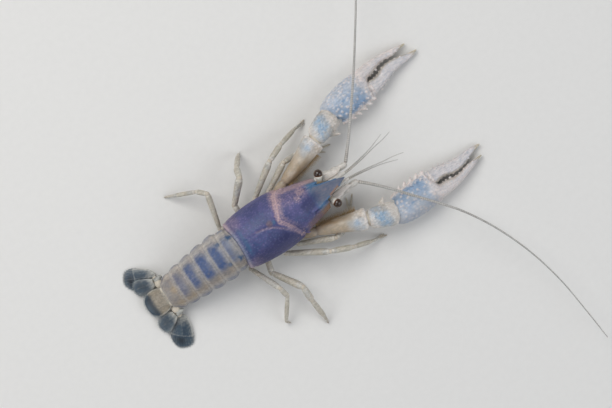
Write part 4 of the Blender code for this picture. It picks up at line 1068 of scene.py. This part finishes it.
def makeClaw(side):
    place = Matrix.Translation(claw["wrist"][side]) @ Matrix.Rotation(math.radians(claw["yaw"][side]), 4, "Z")
    hinge = Matrix.Translation(claw["hinge"])
    swing = place @ hinge @ Matrix.Rotation(math.radians(claw["fingerYaw"][side]), 4, "Z") @ hinge.inverted()

    spines = [((u - 1.6, -5.2, 5.4), (u, v, 6.0)) for u, v in claw["edgeTeeth"]]
    parts = [sheet(180, 64, lambda s, t: clawPoint(claw["palm"], s, t))]
    parts += [thorn(root, tip, 1.7) for root, tip in spines]
    for k in range(5):                  # knobs beside the spines
        root = palmTop(6.4 + 2.45 * k, 0.13)
        parts.append(thorn(root, root + Vector((0.4, -0.5, 0.7)), 0.6, 0.4))
    teeth, tops = bitingTeeth("palm", 1, -1, 3.6, 5)
    bare = [thorn(root, tip, 1.25, 0.06) for root, tip in spines]
    finishClaw(f"claw_palm_{side}", parts + teeth, palmLook(side), bare + tops, place, side)

    parts, bare = [sheet(140, 52, lambda s, t: clawPoint(claw["finger"], s, t))], []
    for k in range(6):                  # spines along the edge that doesn't bite, shorter towards the tip
        u = 22.9 + 2.2 * k
        _, inner, _, bottom, top = along(claw["finger"], u)
        root = Vector((u, inner + 0.25, (bottom + top) / 2 + 0.5))
        parts.append(thorn(root, root + Vector((0.35, -0.75 + 0.06 * k, 0.2)), 0.5, 0.4))
        bare.append(thorn(root, root + Vector((0.7, -1.2 + 0.13 * k, 0.2)), 0.6, 0.12))
    teeth, tops = bitingTeeth("finger", 2, 1, 3.4, 4)
    finishClaw(f"claw_finger_{side}", parts + teeth, fingerLook, bare + tops, swing, side)

    knuckle = dress(bulb((20.1, -2.5, 4.3), (1.6, 3.1, 3.5)), whiteLook)
    bmesh.ops.transform(knuckle, matrix=place, verts=knuckle.verts)
    finishPiece(f"claw_hinge_{side}", knuckle, "claw", (), side)


# Arm and wrist of the claw

clawArm = {
    "arm": (                            # point, half width, half height
        ((-26.6, 8.0, 5.9), 1.9, 1.8), ((-26.0, 9.8, 6.0), 1.9, 1.8),
        ((-24.0, 10.8, 6.4), 2.1, 2.0), ((-21.2, 11.7, 7.4), 2.0, 2.1), ((-18.0, 12.7, 8.8), 2.7, 2.9),
        ((-12.0, 14.9, 10.4), 3.3, 3.7), ((-6.0, 17.3, 11.2), 4.1, 4.0), ((-3.0, 18.5, 11.3), 4.6, 3.9),
        ((-1.5, 19.1, 11.2), 4.0, 3.5),
    ),
    "wrist": (
        ((-1.7, 19.1, 11.1), 3.2, 2.9), ((-0.3, 19.6, 11.1), 3.9, 3.5), ((2.0, 20.7, 10.7), 4.5, 4.1),
        ((5.2, 21.9, 9.9), 4.8, 4.3), ((7.6, 22.8, 8.8), 4.8, 3.9), ((9.6, 23.5, 7.6), 4.2, 3.1),
    ),
    # root, tip and radius of single spines; the white horn of the wrist's two large ones is bare
    "armSpines": (
        ((-3.4, 15.0, 10.6), (-1.7, 13.7, 10.8), 0.7), ((-5.0, 16.6, 14.7), (-3.3, 16.6, 15.9), 0.6),
        ((-8.6, 15.4, 13.9), (-7.2, 15.4, 14.9), 0.5),
    ),
    "bareSpines": (((4.6, 18.6, 10.0), (8.5, 15.2, 10.0)), ((7.4, 20.6, 8.8), (11.2, 19.6, 8.6))),
    "wristSpines": (((0.6, 17.0, 11.2), (0.7, 16.0, 11.6), 0.5), ((2.6, 17.1, 11.2), (3.0, 16.1, 11.6), 0.5)),
    "voxel": 0.2, "bristleCount": 320, "bristle": 0.055,
}


def armLook(point, normal):
    x, y = point.x, point.y
    far = ease(x, -9, -4)
    upper = ease(normal.z, -0.3, 0.4)
    rim = hump(x + 0.35 * (y - 18), -2.0, 0.9)
    groove = hump(x + 0.35 * (y - 18), -3.4, 0.5)
    neck = hump(x + 0.3 * (y - 12), -21.6, 1.0)
    bead = grains(point, 1.3)
    fringe = ease(y - 0.42 * x, 19.6, 18.2)
    rise = 0.1 * bead * (0.4 + far) + 0.16 * rim - 0.14 * groove - 0.2 * neck
    rise += 0.06 * noise.noise(point * 0.6)
    cloudy = 0.8 + 0.5 * noise.noise(point * 0.5)
    blue = 1.1 * hump(x, -5.6, 6.2) * hump(y - 0.3 * x, 20.2, 5.4) * upper * (1 - rim) * cloudy
    pale = 0.3 * bead * far + 0.6 * rim + 0.4 * far + 0.25 * neck
    warm = 0.5 * ease(x, -5, -15) * cloudy + 0.35 * fringe + 0.15 * rim
    return rise, blue, pale, warm, 0.3 * neck + 0.25 * fringe * ease(x, -4, -10)


def wristLook(point, normal):
    x, y = point.x, point.y
    upper = ease(normal.z, -0.3, 0.4)
    middle = 19.9 + 0.4 * x
    vee = abs(y - middle) * 0.55
    groove = 0
    for step in (1.6, 3.1, 4.6):            # three shallow vees across the wrist
        groove += math.exp(-((x - vee - step) / 0.3) ** 2) * hump(y, middle, 3.6) * upper
    rim = ease(x, 6.4, 7.8)
    bead = grains(point, 1.25)
    rise = 0.16 * bead - 0.2 * groove + 0.1 * rim + 0.05 * noise.noise(point * 0.6)
    cloudy = 0.85 + 0.5 * noise.noise(point * 0.5)
    blue = 1.15 * hump(x, 3.2, 7.2) * hump(y, middle + 0.4, 9.5) * upper * cloudy
    pale = 0.1 + 0.35 * bead + 0.5 * rim + 0.35 * ease(x, 2.2, -0.4)
    pale += 0.3 * ease(upper, 1, 0) + 0.3 * max(0, groove - 0.6)
    warm = 0.12 * rim + 0.2 * ease(normal.z, 0, -0.6) + 0.15 * hump(x, -0.8, 1.4)
    return rise, blue + 0.5 * groove, pale, warm, 0.12 * groove


def makeArm(side):
    parts = [limb(clawArm["arm"], 120, 56, 0.9, 0.35)]
    parts += [thorn(*spines) for spines in clawArm["armSpines"]]
    for k in range(6):
        root = Vector((-17 + 2.4 * k, 10.9 + 0.86 * k, 7.2 + 0.16 * k))
        parts.append(thorn(root, root + Vector((1.3, -1.5 - 0.07 * k, -0.2)), 0.6))
    bm = dress(fused(joined(parts), clawArm["voxel"]), armLook)
    finishNode(f"claw_arm_{side}", "shell", bm, "arm", side)

    parts = [limb(clawArm["wrist"], 90, 60, 0.92, 0.4)]
    parts += [thorn(root, tip, 2.5, 0.08) for root, tip in clawArm["bareSpines"]]
    parts += [thorn(*spines) for spines in clawArm["wristSpines"]]
    for k in range(3):
        root = Vector((1.0 + 2.2 * k, 20.4 + 0.6 * k, 14.3 - 0.4 * k))
        parts.append(thorn(root, root + Vector((0.3, -0.1, 0.9)), 0.5, 0.4))
    bm = dress(fused(joined(parts), clawArm["voxel"]), wristLook)
    bare = [dress(thorn(root, tip, 1.8, 0.05), whiteLook) for root, tip in clawArm["bareSpines"]]
    finishNode(f"claw_wrist_{side}", "shell", joined([bm] + bare), "arm", side)

    def rootAt(q):                      # brown bristles along the arm's inner edge
        x = -20.5 + 16.5 * q
        root = Vector((x, 10.1 + 0.24 * (x + 20), 8.4 + 2.6 * q + 1.7 * math.sin(q * 768)))
        return root, Vector((0.9, -2.3, 0.0)) * (0.8 + 0.25 * math.sin(q * 1500))

    fringe = bristles(clawArm["bristleCount"], rootAt, clawArm["bristle"])
    finishPiece(f"claw_arm_{side}.bristles", fringe, "arm", (), side, "brownBristle")
    skin = joined([bulb((-1.4, 19.1, 11.1), (1.7, 3.4, 3.0)), bulb((9.2, 23.5, 7.4), (1.6, 3.2, 2.6))])
    finishPiece(f"claw_joints_{side}", skin, "arm", (), side, "jointSkin")


for clawSide in sideSign:
    makeClaw(clawSide)
    makeArm(clawSide)
print("claws and arms made")


# Walking legs

legs = {
    "joints": {                         # where each joint lies, from the hip outwards
        ("left", 1): ((-28.5, 12.3, 5.6), (-17.0, 18.6, 8.8), (-11.3, 18.4, 4.9), (-4.6, 15.7, 2.3),
                      (2.8, 14.2, 0.1), (-0.4, 12.6, 0.55)),
        ("left", 2): ((-34.3, 13.3, 5.9), (-21.3, 22.1, 11.6), (-14.0, 25.2, 9.2), (-6.0, 27.3, 3.9),
                      (-0.4, 28.4, 0.1), (-0.9, 27.3, 0.35)),
        ("left", 3): ((-43.0, 15.3, 7.0), (-35.0, 23.2, 16.0), (-33.9, 27.2, 11.4), (-30.5, 31.3, 2.9),
                      (-29.9, 31.7, 0.1)),
        ("left", 4): ((-53.2, 10.6, 6.2), (-49.3, 25.2, 12.0), (-52.6, 28.4, 8.6), (-62.3, 32.8, 2.6),
                      (-64.8, 33.9, 0.1)),
        ("right", 1): ((-30.2, 11.9, 5.5), (-16.5, 18.2, 8.8), (-12.2, 17.8, 4.9), (-6.3, 13.4, 2.5),
                       (-1.0, 7.2, 0.1), (-3.9, 7.0, 0.5)),
        ("right", 2): ((-36.5, 12.3, 5.9), (-21.3, 21.5, 11.6), (-13.0, 25.1, 9.0), (-5.0, 27.6, 3.9),
                       (1.4, 29.0, 0.1), (0.7, 27.9, 0.35)),
        ("right", 3): ((-45.7, 15.6, 6.8), (-38.3, 27.2, 13.2), (-38.4, 33.6, 10.0), (-38.0, 42.4, 3.1),
                       (-38.2, 45.2, 0.1)),
        ("right", 4): ((-51.8, 9.6, 6.0), (-46.3, 22.4, 13.4), (-45.6, 26.8, 10.0), (-51.9, 35.1, 3.0),
                       (-50.9, 36.6, 0.1)),
    },
    "hipX": {1: -32.3, 2: -37.9, 3: -43.3, 4: -47.9}, "hipOut": 7.6, "hipZ": 5.2,
    "girth": {1: 0.94, 2: 0.98, 3: 1.08, 4: 0.86},
    "joint": (1.1, 1.08, 0.98, 0.88, 0.62, 0.2),     # radius at each joint, hip first
    "swell": ((1.2, 1.12, 1.15), (1.12, 1.3, 1.42), (1.12, 1.25, 1.2), (0.95, 1.05, 0.88), (0.6, 0.46, 0.3)),
    "skin": (1.15, 1.05, 1.0, 0.9, 0.62),            # radius of the joint skin, hip first
    "bristleCount": 46, "bristle": 0.03,
}


def legSegment(start, end, girth, near, swells, far):
    # One length of leg between two joints, with its own swell
    run = end - start
    stations = [(start - run * 0.02, near * girth * 0.8, near * girth * 0.8)]
    for share, radius in zip((0.16, 0.5, 0.86), swells):
        stations.append((start + run * share, radius * girth, radius * girth * 1.04))
    stations.append((end + run * 0.01, far * girth, far * girth))
    rows = max(24, int(run.length * 4.5))
    return limb(stations, rows, 24, 1.0, 0.6)


def legLook(joints, girth):
    knee = joints[1]

    def lookAt(point, normal):
        nearJoint = min((point - joint).length for joint in joints[:4])
        collar = hump(nearJoint, 1.5 * girth, 0.5)
        dot = 1 - ease((point - knee - Vector((0, 0, 0.9 * girth))).length, 0.35, 0.7)     # dark, on the knee
        fine = grains(point, 0.7)
        rise = 0.04 * fine + 0.05 * collar + 0.03 * noise.noise(point * 1.2)
        tip = ease((point - joints[4]).length, 2.4, 0.4)
        blue = 0.45 * ease(noise.noise(point * 0.22), 0.0, 0.4) * ease(normal.z, 0, 0.5)
        pale = 0.45 * collar + 0.3 * fine + 0.35 * ease(normal.z, -0.2, 0.6)
        warm = 0.75 * tip + 0.25 * ease(point.z, 4, 1) + 0.3 * ease(nearJoint, 1.2, 0.5)
        return rise, blue, pale, warm, 0.9 * dot

    return lookAt


def makeLeg(side, number):
    girth, sign = legs["girth"][number], sideSign[side]
    hipX = legs["hipX"][number]
    joints = [Vector(point) for point in legs["joints"][side, number]]
    hip = Vector((hipX, legs["hipOut"] + middleAt(hipX) * sign, legs["hipZ"]))
    points = [hip, *joints[:5]]
    look = legLook(joints, girth)
    radii = legs["joint"]
    parts = []
    for k, swells in enumerate(legs["swell"]):
        segment = legSegment(points[k], points[k + 1], girth, radii[k], swells, radii[k + 1])
        parts.append(dress(segment, look))
    if len(joints) == 6:                # the small pincer's second finger
        wrist, thumb = joints[3], joints[5]
        finger = limb((
            (wrist.lerp(joints[2], 0.3), 0.5, 0.5), (wrist.lerp(thumb, 0.15), 0.52, 0.5),
            (wrist.lerp(thumb, 0.6), 0.42, 0.4), (thumb, 0.16, 0.16),
        ), 30, 18)
        parts.append(dress(finger, look))
    name = f"leg_{number}"
    finishNode(f"{name}_upper_{side}", "shell", joined(parts[:2]), "leg", side)
    finishNode(f"{name}_lower_{side}", "shell", joined(parts[2:]), "leg", side)
    balls = [bulb(points[k], (radius * girth * 1.02,) * 3, 8) for k, radius in enumerate(legs["skin"])]
    finishPiece(f"{name}_joints_{side}", joined(balls), "leg", (), side, "jointSkin")

    def rootAt(q):                      # sparse bristles round the last two joints
        k = 3 if q < 0.6 else 4
        share = q / 0.6 if q < 0.6 else (q - 0.6) / 0.4
        point = points[k].lerp(points[k + 1], 0.25 + 0.65 * share)
        run = (points[k + 1] - points[k]).normalized()
        sideways = upward.cross(run).normalized()
        turn = q * 97
        out = sideways * math.cos(turn) + run.cross(sideways) * math.sin(turn)
        return point + out * 0.35 * girth, out * 0.75 + run * 0.7

    fringe = bristles(legs["bristleCount"], rootAt, legs["bristle"])
    finishPiece(f"{name}_bristles_{side}", fringe, "leg", (), side, "paleBristle")


for legSide in sideSign:
    for legNumber in legs["girth"]:
        makeLeg(legSide, legNumber)
print("legs made")


# Eyes, feelers and mouth parts

head = {
    "eye": (-8.1, 7.0, 19.5), "eyeRadius": 1.8, "stalkFoot": (-9.6, 3.5, 18.6),
    "feelerBase": (
        ((-10.6, 4.3, 14.1), 1.8, 1.6), ((-8.0, 4.6, 13.9), 2.1, 1.8), ((-5.2, 4.6, 14.1), 1.9, 1.6),
        ((-3.6, 4.5, 14.4), 1.4, 1.3), ((-2.0, 4.35, 14.6), 1.7, 1.5), ((-0.2, 4.2, 14.9), 1.2, 1.1),
        ((1.0, 4.15, 15.0), 1.3, 1.2), ((2.6, 4.2, 15.1), 1.25, 1.15), ((3.6, 4.6, 15.2), 0.8, 0.8),
    ),
    "whip": {
        "left": (
            (3.4, 4.5, 15.2), (7.0, 8.5, 15.5), (12.3, 14.8, 15.9), (19.5, 23.9, 15.9),
            (27.0, 33.5, 15.8), (35.4, 45.0, 15.4), (43.4, 56.3, 14.6), (50.0, 67.0, 13.6),
            (55.2, 78.0, 12.4), (59.0, 89.6, 11.2), (61.4, 101.0, 10.0), (62.6, 112.6, 8.8),
        ),
        "right": (
            (3.4, 4.5, 15.2), (6.6, 7.5, 15.5), (12.3, 13.7, 15.9), (19.0, 21.8, 15.9),
            (25.6, 29.8, 15.8), (31.7, 37.8, 15.6), (37.8, 48.4, 15.1), (42.6, 59.4, 14.2),
            (46.2, 70.6, 13.2), (49.0, 83.8, 11.8), (50.6, 98.4, 10.2), (51.8, 112.6, 8.8),
        ),
    },
    "whipRoot": 0.72, "whipTip": 0.2, "ringLength": 0.75,
    "smallBase": (
        ((-10.7, 1.55, 17.6), 0.9, 0.9), ((-7.5, 1.5, 17.8), 1.0, 1.0), ((-5.0, 1.45, 18.0), 0.9, 0.9),
        ((-4.5, 1.45, 18.0), 0.7, 0.7), ((-4.0, 1.45, 18.0), 0.85, 0.85), ((-1.9, 1.4, 18.1), 0.8, 0.8),
        ((-1.5, 1.4, 18.1), 0.62, 0.62), ((-1.0, 1.35, 18.1), 0.75, 0.75), ((1.2, 1.35, 18.2), 0.6, 0.6),
    ),
    "smallWhips": (
        ((0.6, 1.05, 18.3), (4, 1.35, 18.5), (10, 2.2, 19.0), (16, 3.3, 19.6), (21, 4.0, 20.0),
         (25, 5.0, 20.3)),
        ((0.6, 1.6, 18.0), (4, 1.95, 18.0), (10, 2.85, 18.1), (15, 3.9, 18.3), (21.6, 6.1, 18.6)),
    ),
    "scale": (                          # share of length, inner width, outer width, thickness
        (0, 1.1, 1.4, 0.8), (0.12, 1.6, 1.6, 0.9), (0.34, 1.8, 1.5, 0.9), (0.5, 1.85, 1.0, 0.9),
        (0.68, 1.8, 0.55, 0.8), (0.87, 1.3, 0.3, 0.7), (1.0, 0.3, 0.2, 0.5),
    ),
    "scaleEnds": ((-10.6, 5.05, 16.8), (0.4, 4.0, 16.6)),
}


def ringedWhip(route, root, tip, columns=10):
    # A whip of many short rings, each a little wider at its far end
    points = [Vector(point) for point in route]
    count = len(points) - 1
    radii = [root + (tip - root) * (k / count) ** 0.8 for k in range(count + 1)]
    length = sum((b - a).length for a, b in zip(points, points[1:]))
    rings = int(length / head["ringLength"])
    bm = limb(list(zip(points, radii, radii)), rings * 4, columns)
    start = points[0]

    def lookAt(point, normal):
        run = (point - start).length
        phase = (run / head["ringLength"]) % 1
        beat = hump(phase, 0.7, 0.5)
        thick = root + (tip - root) * min(run / length, 1)
        return 0.1 * thick * (beat - 0.5), 0.2, 0.5 * beat + 0.15, 0.3 * ease(run, 12, 0), 0.3 * (1 - beat)

    return dress(bm, lookAt)


def segmentedLook(point, normal):
    bead = grains(point, 0.9)
    return 0.05 * bead, 0.1, 0.85 + 0.2 * bead, 0.35, 0.03


def makeHeadParts(side):
    centre, foot = Vector(head["eye"]), Vector(head["stalkFoot"])
    run = (centre - foot).normalized()
    radius = head["eyeRadius"]

    def eyeLook(point, normal):
        back = (centre - point).dot(run) / radius
        return -0.02, 0, 0, max(ease(back, 0.1, 0.62), 0.42 * ease(normal.z, 0.85, 0.3)), 0

    eye = dress(bulb(centre, (radius,) * 3, 32), eyeLook)
    finishNode(f"eye_{side}", "dome", eye, "eye", side)
    collar = centre - run * radius * 0.55
    stalk = limb((
        (foot, 1.05, 1.0), (foot.lerp(collar, 0.4), 1.05, 1.05), (foot.lerp(collar, 0.75), 1.4, 1.4),
        (collar, 1.62, 1.62), (collar + run * 0.12, 1.55, 1.55),
    ), 46, 36, 1.0, 0.2)

    def stalkLook(point, normal):
        near = (point - collar).length
        crescent = ease(near, 2.6, 1.7) * ease(normal.z, -0.1, 0.4)
        return 0.03 * grains(point, 0.7), 0, 0.9 * crescent, 0.21 * ease((point - foot).dot(run), 3.6, 2.2), 0

    finishNode(f"eyestalk_{side}", "shell", dress(stalk, stalkLook), "eyestalk", side)

    base = dress(limb(head["feelerBase"], 110, 36), segmentedLook)
    finishNode(f"feeler_base_{side}", "shell", base, "feeler", side)
    whip = ringedWhip(head["whip"][side], head["whipRoot"], head["whipTip"])
    nodes = tuple(f"feeler_{k}_{side}" for k in (1, 2, 3))
    finishPiece(f"feeler_whip_{side}", whip, "feeler", nodes, side)

    small = [dress(limb(head["smallBase"], 90, 24), segmentedLook)]
    small += [ringedWhip(route, 0.38, 0.1, 8) for route in head["smallWhips"]]
    finishNode(f"antennule_{side}", "shell", joined(small), "feeler", side)

    root, tip = (Vector(point) for point in head["scaleEnds"])
    way = (tip - root).normalized()
    across = (Vector((0, 1, 0)) - upward * 0.12).normalized()
    up = way.cross(across)

    def scalePoint(s, t):
        body, closed = capped(s)
        inner, outer, thick = along(head["scale"], body)
        reach, level = oval(t, 1, 0.7)
        width = outer if reach > 0 else inner
        return root.lerp(tip, body) + (across * width * reach + up * level * thick / 2) * closed

    def scaleLook(point, normal):
        sideways = (point - root).dot(across)
        keel = hump(sideways, 0.35, 0.4)
        ribs = math.sin(sideways * 9)
        return 0.12 * keel + 0.02 * ribs, 0.1, 0.75 + 0.3 * keel + 0.12 * ribs, 0.15, 0.05 * (1 - keel)

    node = f"feeler_scale_{side}"
    finishNode(node, "blade", dress(sheet(80, 60, scalePoint), scaleLook), "arm", side)

    def scaleFringe(q):
        share = 0.25 + 0.7 * q
        inner = along(head["scale"], share)[0]
        return root.lerp(tip, share) - across * inner * 0.95, Vector((0.7, -0.9, -0.1))

    finishPiece(f"{node}.fringe", bristles(60, scaleFringe, 0.035), "arm", (), side, "paleBristle")

    node = f"mouth_leg_{side}"
    mouthLeg = fused(copyOfNode(node), 0.15, 8)
    dress(mouthLeg, lambda point, normal: (0.08 + 0.05 * grains(point, 0.8), 0, 0.35, 0.4, 0.1))
    finishNode(node, "shell", mouthLeg, "leg")

    def mouthFringe(q):
        return Vector((-22 + 10 * q, 2.3, 5.0 + 1.4 * q)), Vector((0.4, -0.8, -0.8))

    finishPiece(f"{node}.bristles", bristles(70, mouthFringe, 0.04), "leg", (), side, "brownBristle")


for headSide in sideSign:
    makeHeadParts(headSide)
print("head parts made")


# Undersides

def underLook(point, normal):
    seam = hump(point.y - middleAt(point.x), 0, 0.5) * ease(normal.z, 0.1, -0.5)
    grain = grains(point, 1.0)
    rise = 0.05 + 0.07 * grain - 0.25 * seam + 0.08 * noise.noise(point * 0.8)
    return rise, 0.15, 0.3 + 0.2 * grain, 0.3 + 0.4 * seam, 0.25 * seam


for blockName in ("thorax_underside", "head_underside"):
    block = dress(fused(copyOfNode(blockName), 0.24, 6), underLook)
    finishNode(blockName, "shell", block, "underside")
print("undersides made")


# Floor, lights and camera

studio = {
    "floorSize": 3.0, "floorColours": ("#dddcd9", "#e2e1de"), "fibre": 2.5,
    "lights": (                         # name, place, width in metres, power in watts, colour
        ("keyLight", (-0.12, 0.55, 0.8), 0.75, 5.6, (1.0, 0.985, 0.96)),
        ("fillLight", (0.5, -0.6, 0.7), 0.8, 3.4, (0.93, 0.96, 1.0)),
        ("rearLight", (-0.8, 0.0, 0.5), 0.6, 1.5, (1.0, 1.0, 1.0)),
    ),
    "skyColour": (0.9, 0.93, 1.0, 1), "skyStrength": 0.3,
    # the camera looks straight down, as in the photograph; frameWidth is what it sees across, in metres
    "sensor": 36.0, "lens": 200.0, "clip": (0.05, 20), "viewTurn": -34.0,
    "aim": (-0.00138, -0.0003, 0.015), "frameWidth": 0.2448,
}


def makeFloor():
    bm = bmesh.new()
    bmesh.ops.create_grid(bm, x_segments=1, y_segments=1, size=studio["floorSize"] / 2)
    mesh = bpy.data.meshes.new("studioFloor")
    bm.to_mesh(mesh)
    bm.free()
    floor = bpy.data.objects.new("studioFloor", mesh)
    bpy.context.scene.collection.objects.link(floor)
    # Matt studio paper, its tone a hair uneven from the fibres
    material, tree, place = newMaterial("paperFloor")
    fibre = addNode(tree, "ShaderNodeTexNoise", {
        "Scale": perMm / studio["fibre"], "Detail": 3.0,
    }, {"Vector": place})
    dull, bright = map(linear, studio["floorColours"])
    colour = addNode(tree, "ShaderNodeMix", {
        "data_type": "RGBA", 6: dull, 7: bright,
    }, {0: fibre.outputs["Fac"]})
    paper = addNode(tree, "ShaderNodeBsdfPrincipled", {
        "Roughness": 0.85, "IOR": 1.45,
    }, {"Base Color": colour.outputs[2]})
    addNode(tree, "ShaderNodeOutputMaterial", {}, {"Surface": paper.outputs["BSDF"]})
    mesh.materials.append(material)
    floor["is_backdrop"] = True


def makeLight(name, place, size, power, colour):
    # A round soft light that points at the shared origin
    light = bpy.data.lights.new(name, "AREA")
    light.shape, light.size, light.energy, light.color = "DISK", size, power, colour
    obj = bpy.data.objects.new(name, light)
    bpy.context.scene.collection.objects.link(obj)
    obj.location = place
    obj.rotation_euler = (-Vector(place)).to_track_quat("-Z", "Y").to_euler()


def makeStudio():
    makeFloor()
    for light in studio["lights"]:
        makeLight(*light)
    world = bpy.data.worlds.new("softRoom")
    bpy.context.scene.world = world
    bpy.context.scene.view_settings.view_transform = "Standard"
    world.use_nodes = True
    sky = world.node_tree.nodes["Background"]
    sky.inputs["Color"].default_value = studio["skyColour"]
    sky.inputs["Strength"].default_value = studio["skyStrength"]

    cam = bpy.data.cameras.new("camera")
    cam.sensor_width, cam.lens = studio["sensor"], studio["lens"]
    distance = studio["frameWidth"] * cam.lens / cam.sensor_width
    cam.clip_start, cam.clip_end = studio["clip"]
    camera = bpy.data.objects.new("camera", cam)
    bpy.context.scene.collection.objects.link(camera)
    aim = Vector(studio["aim"])
    camera.location = aim + upward * distance
    camera.rotation_euler = (0, 0, math.radians(studio["viewTurn"]))
    bpy.context.scene.camera = camera


makeStudio()
triangles = sum(len(poly.vertices) - 2 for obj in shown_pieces() for poly in obj.data.polygons)
print("studio made;", triangles, "triangles in all")
